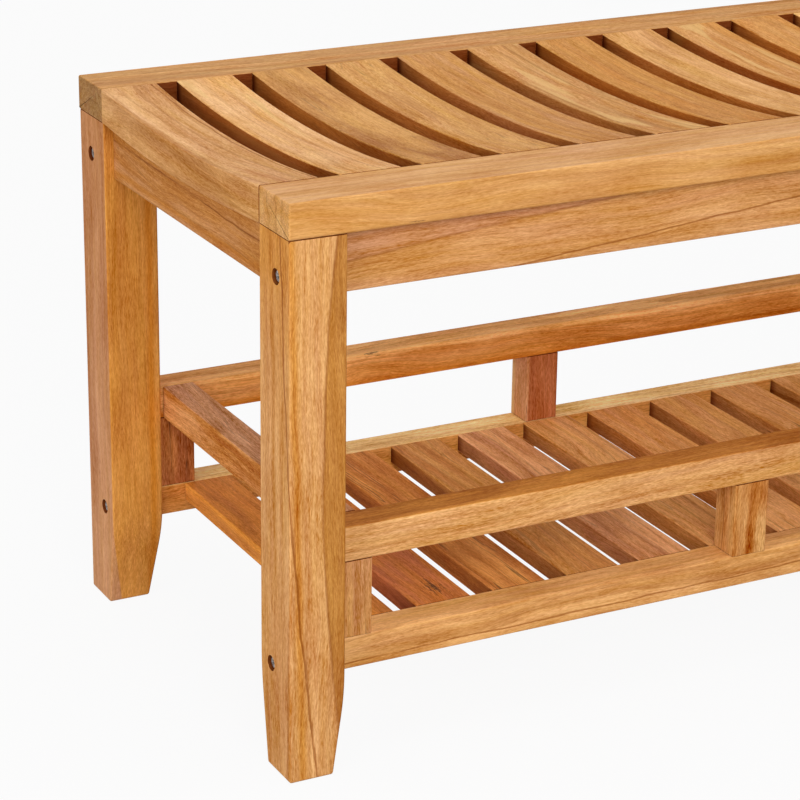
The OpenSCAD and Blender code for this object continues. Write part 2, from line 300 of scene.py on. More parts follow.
def choose(piece, kind, test):
    """Select the verts, edges or faces that pass a test, and nothing else."""
    bpy.ops.mesh.select_all(action="DESELECT")
    shape = bmesh.from_edit_mesh(piece.data)
    shape.normal_update()
    for part in getattr(shape, kind):
        if test(part):
            part.select_set(True)
    shape.select_flush_mode()
    bmesh.update_edit_mesh(piece.data)


def chosen_face(piece):
    return next(face for face in bmesh.from_edit_mesh(piece.data).faces if face.select)


def others(axis):
    return [index for index in (X, Y, Z) if index != axis]


def toward(axis, distance):
    """A step along an axis."""
    return [distance if index == axis else 0 for index in (X, Y, Z)]


def lies_on(axis, place):
    """Test for an edge or a face that lies in the plane at a place on an axis."""
    return lambda part: all(abs(corner.co[axis] - place) < NEAR for corner in part.verts)


def both(*tests):
    return lambda part: all(test(part) for test in tests)


def either(*tests):
    return lambda part: any(test(part) for test in tests)


def is_crisp(edge):
    return edge.calc_face_angle(0) > radians(50)


def runs_along(axis):
    """Test for an edge that runs mostly along an axis."""
    def test(edge):
        reach = edge.verts[0].co - edge.verts[1].co
        return abs(reach[axis]) > 0.7 * reach.length
    return test


def on_box(start, stop, axis):
    """Test for an edge on either of the two faces of a box that an axis crosses."""
    return either(lies_on(axis, start[axis]), lies_on(axis, stop[axis]))


def box_edge(start, stop, axis):
    """Test for an edge of a board's own box that runs along its axis."""
    return both(runs_along(axis), *(on_box(start, stop, index) for index in others(axis)))


def rim_edge(start, stop, axis):
    """Test for an edge round the end faces of a board's own box."""
    sides = [on_box(start, stop, index) for index in others(axis)]
    return both(on_box(start, stop, axis), either(*sides))


def middle_of(edge):
    return (edge.verts[0].co + edge.verts[1].co) / 2


def block(name, low, high):
    bpy.ops.object.select_all(action="DESELECT")
    low, high = Vector(low), Vector(high)
    bpy.ops.mesh.primitive_cube_add(size=1, location=(low + high) / 2, scale=high - low)
    return settled(bpy.context.object, name)


def peg(name, foot, direction, diameter, length, sides=40):
    """A round peg from its foot along a direction."""
    bpy.ops.object.select_all(action="DESELECT")
    direction = Vector(direction)
    bpy.ops.mesh.primitive_cylinder_add(
        vertices=sides, radius=diameter / 2, depth=length,
        location=Vector(foot) + direction * length / 2,
        rotation=direction.to_track_quat("Z", "Y").to_euler(),
    )
    return settled(bpy.context.object, name)


def settled(piece, name):
    """Put a new piece's place, turn and size in its mesh."""
    piece.name = piece.data.name = name
    select_only(piece)
    bpy.ops.object.transform_apply(location=True, rotation=True, scale=True)
    return piece


def joined(pieces, name):
    select_only(*pieces)
    if len(pieces) > 1:
        bpy.ops.object.join()
    made = bpy.context.object
    made.name = made.data.name = name
    return made


def copied(piece, name, move):
    """A copy of a piece with its own mesh, moved or mirrored."""
    twin = piece.copy()
    twin.data = piece.data.copy()
    twin.name = twin.data.name = name
    bpy.context.scene.collection.objects.link(twin)
    twin.data.transform(move)
    if move.determinant() < 0:
        twin.data.flip_normals()
    return twin


def mirrored(axis):
    return Matrix.Diagonal([-1 if axis == index else 1 for index in (X, Y, Z)] + [1])


def to_corner(side="front", end="left"):
    """The move from the front left of the bench to another side and end."""
    to_end = mirrored(X) if end == "right" else Matrix()
    to_side = mirrored(Y) if side == "back" else Matrix()
    return to_end @ to_side


def beside(first, node):
    """The move along the bench from one node to another."""
    return Matrix.Translation(toward(X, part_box(node)[0].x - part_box(first)[0].x))


def apply_modifier(piece, kind, **settings):
    modifier = piece.modifiers.new(kind.title(), kind)
    for name, value in settings.items():
        setattr(modifier, name, value)
    select_only(piece)
    bpy.ops.object.modifier_apply(modifier=modifier.name)


def cut(piece, cutters):
    """Cut mortises, holes and recesses out of a piece."""
    cutter = joined(cutters, piece.name + "_cutter")
    apply_modifier(
        piece, "BOOLEAN", operation="DIFFERENCE", solver="EXACT", use_self=True, object=cutter
    )
    mesh = cutter.data
    bpy.data.objects.remove(cutter)
    bpy.data.meshes.remove(mesh)


def ease(piece, radii, segments=3):
    """Round edges. radii is a list of (radius, test), where a later test overrules earlier ones."""
    widest = max(radius for radius, _ in radii)
    with editing(piece, "EDGE"):
        for radius, test in [(0.0, lambda edge: True), *radii]:
            choose(piece, "edges", test)
            shape = bmesh.from_edit_mesh(piece.data)
            layer = shape.edges.layers.float.get("bevel_weight_edge")
            if layer is None:
                layer = shape.edges.layers.float.new("bevel_weight_edge")
            weight = radius / widest
            for edge in shape.edges:
                if edge.select:
                    edge[layer] = weight
            bmesh.update_edit_mesh(piece.data)
    apply_modifier(
        piece, "BEVEL", limit_method="WEIGHT", width=widest, segments=segments,
        use_clamp_overlap=False, miter_outer="MITER_SHARP",
    )


def extrude(move):
    bpy.ops.mesh.extrude_region_move(TRANSFORM_OT_translate={"value": move})


def inset_end(piece, axis, place, inset, section):
    """Inset an end face and stretch it to a section on the other two axes. Gives its middle."""
    choose(piece, "faces", lies_on(axis, place))
    bpy.ops.mesh.inset(thickness=inset)
    face = chosen_face(piece)
    middle = face.calc_center_median()
    stretch = [1, 1, 1]
    for index, wanted in zip(others(axis), section):
        places = [corner.co[index] for corner in face.verts]
        stretch[index] = wanted / (max(places) - min(places))
    bpy.ops.transform.resize(value=stretch, center_override=middle)
    return middle


def tenon(piece, axis, place, outward, inset, section, length):
    """Draw a tenon with a tapered tip out of the end face at a place on an axis."""
    with editing(piece, "FACE"):
        tip = inset_end(piece, axis, place, inset, section)
        extrude(toward(axis, outward * (length - TENON_TIP)))
        extrude(toward(axis, outward * TENON_TIP))
        taper = [1 - TENON_TAPER / min(section)] * 3
        taper[axis] = 1
        tip[axis] += outward * length
        bpy.ops.transform.resize(value=taper, center_override=tip)


def slice_at(piece, axis, places):
    with editing(piece, "FACE"):
        for place in places:
            bpy.ops.mesh.select_all(action="SELECT")
            bpy.ops.mesh.bisect(plane_co=toward(axis, place), plane_no=toward(axis, 1))


def hang(piece, height, depth, rings):
    """Lower the corners at a height, at places along Y, into the seat's shallow curve."""
    with editing(piece, "VERT"):
        for y in rings:
            choose(
                piece, "verts",
                lambda v: abs(v.co.z - height) < NEAR and abs(v.co.y - y) < NEAR,
            )
            drop = depth * (1 - (y / DISH_REACH) ** 2)
            bpy.ops.transform.translate(value=toward(Z, -drop))


# ---- Boards ----

OUT_OF_SIGHT = 9000.0  # in mm, the place of a streak or a knot that a board doesn't have


class Streak(NamedTuple):
    """A sheet of other wood that runs through a board along its grain.

    facing is the direction across the board in which its place, in mm from the board's middle,
    is measured. lean is in mm per mm along the board, and bow in mm per 100 mm along it, squared.
    wave is how far it strays, in mm.
    """

    facing: tuple = (1.0, 0.0)
    place: float = -OUT_OF_SIGHT
    lean: float = 0.0
    bow: float = 0.0
    wave: float = 4.0


class Cut(NamedTuple):
    """How a board lies in its tree, and the marks it shows.

    pith is in mm and lean in mm per mm. line is a thin dark streak, glow a broad golden one, and
    border is where the second tone begins. fade is painted light: how much lighter the board gets
    in
    100 mm, a gradient of light and shade painted along it. gap is how much painted shade darkens
    its faces in the gaps between boards, and end how light its cut ends are.
    """

    pith: tuple
    lean: tuple
    tone: str
    second: str
    shade: float
    contrast: float
    figure: float
    sap: float
    vein: float
    gap: float
    patch: float = 1.0
    fade: float = 0.0
    end: float = 1.0
    knot: tuple = (0.0, 0.0, OUT_OF_SIGHT)
    knot_size: float = 1.0
    line: Streak = Streak()
    border: Streak = Streak(place=OUT_OF_SIGHT)
    glow: Streak = Streak()


# Where the pith lies from the middle of a board, in mm across it
FLAT_SAWN = ((0, -42), (14, -38), (-12, 52), (6, 60), (-18, -50))
QUARTER_SAWN = ((-84, 10), (92, -16), (-70, -24), (78, 22))
TONES = {
    "leg": ("honey", "amber", "rose"),
    "seat": ("rose", "straw", "honey", "tan"),
    "apron": ("amber", "tan", "honey"),
    "shelf": ("honey", "amber", "russet", "rose"),
    "post": ("russet", "amber", "chestnut"),
    "rim": ("amber", "honey", "tan"),
}
CONTRAST = {"leg": 0.85, "seat": 0.72, "apron": 0.75, "shelf": 0.8, "post": 1.15, "rim": 0.9}


def on_first(place, **shape):
    """A streak at a place on the board's first axis across its grain."""
    return Streak((1.0, 0.0), place, **shape)


def on_second(place, **shape):
    """A streak at a place on the board's second axis across its grain."""
    return Streak((0.0, 1.0), place, **shape)


def at_corner(place, side=1):
    """A border along an edge of a board, which parts two of its faces. The two tones are partly the
    board's own colour and partly painted light and shade, lighter or darker as the light falls on
    each face.
    """
    return Streak((0.707, 0.707 * side), place, wave=0.0)


# Boards with their colour and marks given one by one, by node
# Shades above 1 on the rim and shelf boards are partly painted light, lightening boards that lie in
# the shade under the seat.
PICKED = {
    "leg_front_left": dict(
        tone="rose", second="ochre", shade=0.83, fade=0.05, patch=0.15, figure=0.3, vein=0.0,
        sap=0.0, line=Streak((0.707, -0.707), 2.1, -0.065, 0.5),
        border=on_first(4.3, lean=-0.02, bow=3.3), glow=on_first(-16.9, lean=-0.024),
    ),
    "leg_back_left": dict(
        tone="mauve", second="gold", shade=0.97, fade=-0.07, patch=0.1, figure=0.2, vein=0.0,
        sap=0.0, contrast=0.7, border=at_corner(1.6, -1), glow=on_first(15.0),
    ),
    "seat_rail_front": dict(
        tone="honey", second="blush", shade=0.88, patch=0.3, vein=0.0, sap=0.0, figure=0.3,
        contrast=0.55, border=at_corner(-7.6), knot=(-25.5, -15.0, -326.0),
    ),
    "seat_rail_back": dict(
        tone="rose", second="tan", shade=0.85, vein=0.3, gap=1.95, end=0.66, contrast=0.85,
    ),
    "seat_end_slat_left": dict(
        tone="tan", second="blush", shade=0.92, fade=0.04, patch=0.3, vein=0.0, sap=0.0,
        contrast=0.7, border=at_corner(-6.5), line=on_first(19.5, lean=-0.009),
    ),
    "seat_slat_01": dict(
        tone="straw", second="blush", shade=0.96, fade=0.06, gap=1.75, figure=0.4, vein=0.0,
    ),
    "seat_slat_02": dict(tone="tan", second="honey", shade=0.86, fade=0.1, vein=0.3),
    "seat_slat_03": dict(tone="straw", second="honey", shade=0.85, fade=0.03, vein=0.3),
    "seat_slat_04": dict(
        tone="honey", second="mauve", shade=0.88, fade=0.03, gap=1.1, patch=0.5, vein=0.0,
    ),
    "seat_slat_05": dict(
        tone="rose", second="tan", shade=0.85, fade=0.05, gap=1.0, vein=0.0,
        knot_size=0.6, knot=(9.4, 10.8, 7.6),
    ),
    "seat_slat_06": dict(tone="honey", second="amber", shade=0.9, fade=0.03, vein=0.0),
    "seat_slat_07": dict(tone="straw", second="rose", shade=0.88, vein=0.0),
    "seat_slat_08": dict(tone="rose", second="amber", shade=0.88, fade=0.08, gap=1.65),
    "apron_front": dict(
        tone="tan", second="mauve", shade=1.0, patch=0.35, figure=0.3, vein=0.0, sap=0.0,
        border=on_second(31.0, lean=0.067, bow=-0.5), line=on_second(-2.6, lean=0.089),
    ),
    "apron_left": dict(
        tone="amber", second="mauve", shade=0.84, patch=0.5, vein=0.3, sap=0.0, contrast=0.78,
        glow=on_second(-17.0), line=on_second(6.0, lean=0.02),
    ),
    "post_front_left": dict(
        tone="mauve", second="tan", shade=1.05, figure=0.4, vein=0.3, sap=0.0, fade=0.3,
        contrast=0.85,
    ),
    "post_front_mid": dict(tone="russet", second="tan", shade=0.93, line=on_second(2.0)),
    "post_back_left": dict(
        tone="chestnut", second="russet", shade=1.02, patch=0.6, figure=0.8, vein=0.7, fade=-0.4,
        contrast=1.5,
    ),
    "post_back_mid": dict(
        tone="mauve", second="chestnut", shade=1.05, patch=0.0, border=at_corner(0.0, -1),
    ),
    "rim_rail_front": dict(
        tone="rose", second="copper", shade=0.86, patch=0.1, vein=0.0, sap=0.0,
        border=at_corner(0.0),
    ),
    "rim_rail_back": dict(
        tone="amber", second="straw", shade=1.22, contrast=0.75, patch=0.4, vein=0.0, sap=0.0,
        border=at_corner(-3.0), glow=on_second(-12.0), knot=(-14.0, 15.5, -178.0),
    ),
    "rim_rail_left": dict(
        tone="russet", second="mauve", shade=1.06, contrast=1.15, patch=0.3, vein=0.3, sap=0.0,
        border=at_corner(0.0),
    ),
    "shelf_rail_front": dict(
        tone="tan", second="straw", shade=1.04, contrast=0.65, patch=0.35, vein=0.0, sap=0.0,
        border=at_corner(-0.5), line=on_second(-4.0, lean=0.012),
    ),
    "shelf_rail_back": dict(
        tone="amber", second="sapwood", shade=1.19, contrast=0.9, patch=0.0, vein=0.0, sap=0.0,
        border=at_corner(-1.0),
    ),
    "shelf_end_slat_left": dict(tone="russet", second="copper", shade=1.2, sap=0.0, vein=0.0),
    "shelf_slat_01": dict(
        tone="russet", second="chestnut", shade=1.45, sap=0.0,
        knot_size=1.9, knot=(3.3, 10.5, -128.0),
    ),
    "shelf_slat_02": dict(tone="russet", second="amber", shade=1.2),
    "shelf_slat_03": dict(tone="honey", second="russet", shade=1.05),
    "shelf_slat_04": dict(tone="mauve", second="rose", shade=1.22, patch=0.5),
    "shelf_slat_05": dict(tone="rose", second="honey", shade=1.12, knot=(14.0, 13.0, 92.0)),
    "shelf_slat_06": dict(tone="rose", second="amber", shade=1.15, fade=-0.1),
    "shelf_slat_07": dict(tone="rose", second="honey", shade=1.1, fade=-0.1),
}


def board_cut(node):
    """The cut of a board, which its node's name settles."""
    draw = random.Random("bench " + node)
    kind = node.split("_")[0]
    sawn = FLAT_SAWN if draw.random() < 0.55 else QUARTER_SAWN
    drawn = Cut(
        pith=draw.choice(sawn),
        lean=(draw.uniform(-0.03, 0.03), draw.uniform(-0.03, 0.03)),
        tone=draw.choice(TONES[kind]),
        second=draw.choice(TONES[kind]),
        shade=draw.uniform(0.92, 1.05),
        contrast=CONTRAST[kind],
        figure=draw.uniform(0.3, 0.8),
        sap=draw.choice((0.0, 0.0, 0.0, 0.5)),
        vein=draw.choice((0.0, 0.3, 0.7)),
        gap=1.3 if kind == "seat" else 0.65,
    )
    return drawn._replace(**PICKED.get(node, {}))


def write_attribute(mesh, name, values, domain="POINT"):
    """Write a number or a vector for each corner or face of a mesh."""
    if isinstance(values[0], float):
        kind, field, flat = "FLOAT", "value", values
    else:
        kind, field = "FLOAT_VECTOR", "vector"
        flat = [float(number) for value in values for number in value]
    mesh.attributes.new(name, kind, domain).data.foreach_set(field, flat)


def write_grain(mesh, node, axis, sawn):
    """Write down how a board was sawn, and the marks in it."""
    low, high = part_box(node)
    middle = (low + high) / 2
    # Boards lie so many mm apart in the patterns that no two show the same part
    seed = (sorted(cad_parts).index(node) + 1) * 1370.0
    streaks = (sawn.line, sawn.border, sawn.glow)
    grain, knot, along, from_streaks = [], [], [], []
    for corner in mesh.vertices:
        place = (corner.co - middle) / MM
        length = place[axis]
        across = [place[index] for index in others(axis)]
        grain.append((
            *(across[side] - sawn.pith[side] - sawn.lean[side] * length for side in (0, 1)),
            length + seed,
        ))
        from_knot = [part - centre for part, centre in zip((*across, length), sawn.knot)]
        knot.append([distance / sawn.knot_size for distance in from_knot])
        along.append(length)
        from_streaks.append([
            across[0] * streak.facing[0] + across[1] * streak.facing[1]
            - streak.place - streak.lean * length
            for streak in streaks
        ])
    in_joint = (SEAT_TENON if "seat" in node else SHELF_TENON).length / MM
    reach = max(abs(place) for place in along) - in_joint
    write_attribute(mesh, "grain", grain)
    write_attribute(mesh, "knot", knot)
    write_attribute(mesh, "along", along)
    write_attribute(mesh, "streaks", from_streaks)
    colours = bpy.context.scene.teak_colours
    for name, values in (
        ("tone", Vector(getattr(colours, sawn.tone)) * sawn.shade),
        ("second_tone", Vector(getattr(colours, sawn.second)) * sawn.shade),
        ("bows", [streak.bow for streak in streaks]),
        ("waves", [streak.wave for streak in streaks]),
        ("marks", (sawn.figure, sawn.sap, sawn.vein)),
        ("strength", (sawn.contrast, sawn.patch, reach)),
        ("change", (sawn.fade, sawn.end, 0.0)),
    ):
        write_attribute(mesh, name, [values] * len(grain))


def finish_board(piece, node, axis, finish, joints, gaps):
    """Shade a board, write down how it was sawn, and stand it in for its CAD node.

    joints are the ends, low or high, that meet another board. gaps are the directions, as
    (axis, way), of the faces that look into a gap or under the seat, which get painted shade.
    """
    select_only(piece)
    bpy.ops.object.shade_smooth_by_angle(angle=radians(40))
    apply_modifier(piece, "WEIGHTED_NORMAL", mode="FACE_AREA", weight=50, keep_sharp=True)
    sawn = board_cut(node)
    mesh = piece.data
    write_grain(mesh, node, axis, sawn)
    faces = mesh.polygons
    # Faces inside a screw recess take the joints' value of 2, which paints shade on the recess
    # walls
    ends = [2.0 if in_recess(f.center) else cut_share(f.normal[axis], joints) for f in faces]
    write_attribute(mesh, "end_grain", ends, "FACE")
    # Painted shade for faces that look into gaps or under the seat, kept in the sawn attribute
    gap_shades = [gap_shade_share(face.normal, gaps, sawn.gap) for face in faces]
    write_attribute(mesh, "sawn", gap_shades, "FACE")
    dress(piece, material_named("oiled_teak_" + finish, teak))
    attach(piece, "root")
    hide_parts(node)


def set_out(first, moves, axis, finish, joints=(-1, 1), gaps=lambda node: ()):
    """Copy a board to each node that has a move, finish the copies, and remove the first."""
    for node, move in moves.items():
        board = copied(first, node + "_teak", move)
        finish_board(board, node, axis, finish, joints, gaps(node))
    bpy.data.objects.remove(first)


def inward(node):
    """The direction, as (axis, way), in which the last word of a board's name faces the middle."""
    way = {"front": (Y, 1), "back": (Y, -1), "left": (X, 1), "right": (X, -1)}
    return way[node.split("_")[-1]]


def slat_gaps(node):
    """The faces of a slat that look into gaps, of which an end slat has one."""
    return [inward(node)] if "end_slat" in node else [(X, -1), (X, 1)]


def cut_share(facing, joints):
    """How much of a face is cut across the grain, from 0 to 1, and 2 where it lies in a joint."""
    if abs(facing) > 0.3 and (1 if facing > 0 else -1) in joints:
        return 2.0
    return max(0.0, min(1.0, (abs(facing) - 0.45) * 2.5))


def gap_shade_share(normal, gaps, depth):
    """How much painted shade darkens a face that lies in a gap, where depth is for upright faces.
    """
    for side, way in gaps:
        if normal[side] * way > 0.99:
            return 1.0 if side == Z else depth
    return 0.0


def in_recess(place):
    """Whether a place lies inside the recess round a screw head."""
    depth = HIGH.x - LEG_SET - abs(place.x)
    return depth > RECESS_LIP and any(
        Vector((abs(place.y) - HIGH.y + y, place.z - z)).length < RECESS_D / 2 + RIM_SLACK
        for y, z in (UPPER_SCREW, LOWER_SCREW)
    )


def dress(piece, material):
    piece.data.materials.clear()
    piece.data.materials.append(material)


# ---- Shader maths ----


class Value:
    """A shader socket that stands in a Python expression, each step of which adds its node."""

    def __init__(self, graph, socket):
        self.graph, self.socket = graph, socket

    def _join(self, operation, first, second):
        pair = (first, second)
        if any(is_vector(part) for part in pair):
            kind, output = "ShaderNodeVectorMath", "Vector"
            pair = [(part,) * 3 if isinstance(part, (int, float)) else part for part in pair]
        else:
            kind, output = "ShaderNodeMath", "Value"
        return self.graph.add(kind, {"operation": operation}, dict(enumerate(pair)))[output]

    def __add__(self, other):
        return self._join("ADD", self, other)

    def __radd__(self, other):
        return self._join("ADD", other, self)

    def __sub__(self, other):
        return self._join("SUBTRACT", self, other)

    def __rsub__(self, other):
        return self._join("SUBTRACT", other, self)

    def __mul__(self, other):
        return self._join("MULTIPLY", self, other)

    def __rmul__(self, other):
        return self._join("MULTIPLY", other, self)

    def __truediv__(self, other):
        return self._join("DIVIDE", self, other)

    def _apply(self, operation):
        return self.graph.add("ShaderNodeMath", {"operation": operation}, {0: self})["Value"]

    def fraction(self):
        return self._apply("FRACT")

    def floor(self):
        return self._apply("FLOOR")

    def size(self):
        return self._apply("ABSOLUTE")

    def capped(self):
        settings = {"operation": "MULTIPLY", "use_clamp": True}
        return self.graph.add("ShaderNodeMath", settings, {0: self, 1: 1.0})["Value"]

    def rise(self, low, high):
        """0 below low and 1 above high, with a smooth step between them."""
        return self.graph.add(
            "ShaderNodeMapRange", {"interpolation_type": "SMOOTHSTEP"},
            {"Value": self, "From Min": low, "From Max": high, "To Min": 0.0, "To Max": 1.0},
        )["Result"]

    def length(self):
        return self.graph.add("ShaderNodeVectorMath", {"operation": "LENGTH"}, {0: self})["Value"]

    def parts(self):
        node = self.graph.add("ShaderNodeSeparateXYZ", {}, {"Vector": self})
        return node["X"], node["Y"], node["Z"]


def is_vector(part):
    socket = getattr(part, "socket", None)
    return isinstance(part, tuple) or getattr(socket, "type", "") in ("VECTOR", "RGBA")


class Outputs:
    """The outputs of a node, each as a Value."""

    def __init__(self, graph, node):
        self.graph, self.node = graph, node

    def __getitem__(self, name):
        return Value(self.graph, self.node.outputs[name])


class Graph:
    """The nodes of one material or world."""

    def __init__(self, tree):
        self.tree = tree
        tree.nodes.clear()

    def add(self, kind, settings=None, values=None):
        """A node of a kind, with its settings made first and then its sockets set or linked."""
        node = self.tree.nodes.new(kind)
        for name, setting in (settings or {}).items():
            setattr(node, name, setting)
        for name, value in (values or {}).items():
            if isinstance(value, Value):
                self.tree.links.new(value.socket, node.inputs[name])
            else:
                node.inputs[name].default_value = value
        return Outputs(self, node)

    def attribute(self, name, output="Vector"):
        return self.add("ShaderNodeAttribute", {"attribute_name": name})[output]

    def noise(self, place, detail=2.0, roughness=0.5, output="Fac"):
        return self.add("ShaderNodeTexNoise", {}, {
            "Vector": place, "Scale": 1.0, "Detail": detail, "Roughness": roughness,
        })[output]

    def mix(self, first, second, factor):
        return self.add(
            "ShaderNodeMix", {"data_type": "RGBA"},
            {0: factor, 6: opaque(first), 7: opaque(second)},
        )[2]

    def surface(self, colour, rough, height, strength, depth, finish):
        """The material's own surface, with a bump of a strength and depth from a height."""
        normal = self.add("ShaderNodeBump", {}, {
            "Strength": strength, "Distance": depth, "Height": height,
        })["Normal"]
        shader = self.add("ShaderNodeBsdfPrincipled", {}, {
            "Base Color": colour, "Roughness": rough, "Normal": normal, **finish,
        })["BSDF"]
        self.add("ShaderNodeOutputMaterial", {}, {"Surface": shader})


def opaque(colour):
    return colour if isinstance(colour, Value) else (*colour, 1.0)


def new_material(name):
    material = bpy.data.materials.new(name)
    material.use_nodes = True
    return material, Graph(material.node_tree)


def material_named(name, make):
    """A material by name, made when it is first wanted."""
    return bpy.data.materials.get(name) or make(name)


def per_mm(across, along):
    """Scale of a pattern whose marks are so many millimetres across and along the grain."""
    return (1 / across, 1 / across, 1 / along)


# ---- Materials ----

# How much of each colour is lost or kept where the wood is darker
DEEPENING = (0.70, 1.15, 1.85)
TINTING = (0.04, 0.08, 0.7)
LATEWOOD_KEEPS = (0.58, 0.44, 0.32)
GLOW_KEEPS = (0.91, 0.76, 0.42)
# Painted shade: what faces in gaps lose, what the deepest gaps lose, and what they lose towards
# their ends
GAP_SHADE_LOSES = (0.195, 0.385, 0.55)
DEEP_GAP_SHADE_LOSES = (0.75, 0.95, 0.97)
CORNER_SHADE_LOSES = (0.84, 0.94, 0.98)
# A dark line in joints, and painted shade on the walls of screw recesses
SEAM_AND_RECESS_LOSES = (0.68, 0.84, 0.92)
CUT_END_KEEPS = (1.0, 1.05, 1.12)
ACROSS = (1.0, 1.0, 0.0)


def teak(name):
    """Oiled teak that follows the grain, knot, tones and marks written on each board."""
    colours, sizes = bpy.context.scene.teak_colours, bpy.context.scene.teak_grain
    material, graph = new_material(name)
    grain, knot = graph.attribute("grain"), graph.attribute("knot")
    figure, sap, vein = graph.attribute("marks").parts()
    contrast, patch, reach = graph.attribute("strength").parts()
    fade, end_shade, _ = graph.attribute("change").parts()
    end = graph.attribute("end_grain", "Fac")
    cut_face, seam_and_recess_shade = end.capped(), (end - 1).capped()
    uncut = 1 - cut_face
    along = graph.attribute("along", "Fac") / 100

    # The fibres sway along the board and part round a knot
    sway = graph.noise(grain * per_mm(70, 210), 2.0, 0.5, "Color") - 0.5
    knot_reach = (knot * (1.0, 1.0, 0.45)).length()
    parting = knot * ACROSS * (1 - knot_reach.rise(3, 34)) * 0.5
    place = grain + sway * (sizes.wander, sizes.wander, 0.0) + parting

    # Growth rings round the pith, of uneven width and strength
    drift = graph.noise(grain * per_mm(16, 260), 2.0, 0.55)
    rings = (place * ACROSS).length() / sizes.ring + drift * 3.4
    phase = rings.fraction()
    weight = graph.add(
        "ShaderNodeTexWhiteNoise", {"noise_dimensions": "1D"}, {"W": rings.floor()}
    )["Value"]
    latewood = phase.rise(0.05, 0.86) * (1 - phase.rise(0.88, 1.0)) * weight * weight

    # Broad zones of colour, streaks, fibres and pores
    zone = graph.noise(place * per_mm(17, 620), 2.0, 0.5)
    cloud = graph.noise(place * per_mm(26, 80), 3.0, 0.55)
    band = graph.noise(place * per_mm(6.5, 260), 3.0, 0.6)
    streak = graph.noise(place * per_mm(2.2, 95), 3.0, 0.62)
    fibre = graph.noise(place * per_mm(0.8, 36), 3.0, 0.66)
    fleck = graph.noise(place * per_mm(0.8, 5), 2.0, 0.65)
    pores = graph.noise(place * per_mm(0.6, 7), 1.0, 0.5).rise(0.58, 0.76) * (0.2 + band)
    tint = graph.noise(place * per_mm(8, 150), 3.0, 0.6, "Color") - 0.5

    # Streaks that part the tones of a board, each with its own bend
    waves = graph.attribute("waves")
    wave = graph.noise(grain * per_mm(90, 42), 2.0, 0.5, "Color") - 0.5 + (streak - 0.5) * 0.4
    bend = graph.attribute("bows") * (along * along)
    from_line, from_border, from_glow = (graph.attribute("streaks") - bend + wave * waves).parts()
    bent = waves.parts()[1].capped()
    far_side = from_border.rise(-0.5 - bent, 0.6 + bent) * uncut
    glow = (1 - from_glow.size().rise(0.5, 5.5)) * uncut
    broken = (band + cloud).rise(0.8, 1.2)
    edge = (1 - from_border.size().rise(0.1, 1.8)) * bent * (0.35 + broken * 0.4)
    dashed = 0.25 + (band + cloud).rise(0.65, 1.0)
    line = (1 - from_line.rise(0.1, 1.5)) * from_line.rise(-0.6, -0.1) * dashed
    line = (line + edge * (1 - glow)) * uncut

    # The board's two tones, lighter and darker along its streaks, with its sapwood and marks, and a
    # painted gradient of light and shade along its length
    zoned = (zone * 0.6 + cloud * 0.4).rise(0.43, 0.59) * patch
    mixed = (zoned + far_side * (1 - patch * 0.5)).capped()
    body = graph.mix(graph.attribute("tone"), graph.attribute("second_tone"), mixed)
    light = (zone - 0.5) * 1.0 + (cloud - 0.5) * 1.1 + (band - 0.5) * 0.85 + (streak - 0.5) * 0.90
    light = light + (fibre - 0.5) * 1.1 + (fleck - 0.5) * 1.5
    light = light * contrast + along * fade
    body = body * (1 + light * DEEPENING + tint * TINTING)
    sapwood = graph.noise(place * per_mm(15, 900), 1.0, 0.4).rise(0.55, 0.60) * sap
    body = graph.mix(body, colours.sapwood, sapwood)
    body = graph.mix(body, body * GLOW_KEEPS, glow)
    dark = (latewood * (figure + cut_face * 0.35) + line).capped()
    colour = graph.mix(body, body * LATEWOOD_KEEPS, dark)
    thread = graph.noise(place * per_mm(13, 700), 2.5, 0.5)
    dark_line = (1 - (thread - 0.5).size().rise(0.0, 0.014)) * (cloud + band).rise(0.95, 1.12)
    colour = graph.mix(colour, colours.vein, dark_line * vein)
    colour = colour * (1 - pores * contrast.capped() * 0.42 * DEEPENING)

    # Faces that look into gaps or lie under the seat get painted shade, darkest in the deepest
    # gaps, with more painted shade towards their ends where they meet other boards
    painted_gap_shade = graph.attribute("sawn", "Fac")
    deep = painted_gap_shade.rise(1.3, 2.3)
    colour = colour * (1 - (painted_gap_shade - deep) * GAP_SHADE_LOSES) * (1 - deep * DEEP_GAP_SHADE_LOSES)
    # Painted shade that deepens towards the ends of faces in gaps, in the corners where they meet
    # other boards
    from_end = along.size() * 100 - reach + (fleck - 0.5) * 5
    corner_shade = from_end.rise(-70, 0) * 0.4 + from_end.rise(-13, -1) * 0.6
    colour = colour * (1 - corner_shade * painted_gap_shade.rise(0.0, 0.9) * CORNER_SHADE_LOSES)

    # Cut ends show speckled pores instead of streaks, and joints hold a dark line; the walls of a
    # screw recess take the same darkening as painted shade
    speck = graph.noise(grain * per_mm(0.9, 30), 2.0, 0.75)
    cut_end = colour * CUT_END_KEEPS * (0.38 + speck * 1.2) * end_shade
    colour = graph.mix(colour, cut_end, cut_face)
    heart = 1 - (knot_reach + (streak - 0.5) * 13 + (fleck - 0.5) * 9).rise(1.2, 3.6)
    colour = graph.mix(colour, colours.knot, heart * 0.85)
    colour = colour * (1 - seam_and_recess_shade * SEAM_AND_RECESS_LOSES)

    rough = sizes.gloss + (fibre - 0.5) * 0.3 + pores * 0.12 + cut_face * 0.14
    height = fibre * 0.9 - pores * 0.7 + streak * 0.5 - latewood * 0.25
    oiled = {"IOR": 1.45, "Specular IOR Level": 0.04}
    graph.surface(colour, rough, height, 0.8, sizes.bump, oiled)
    return material


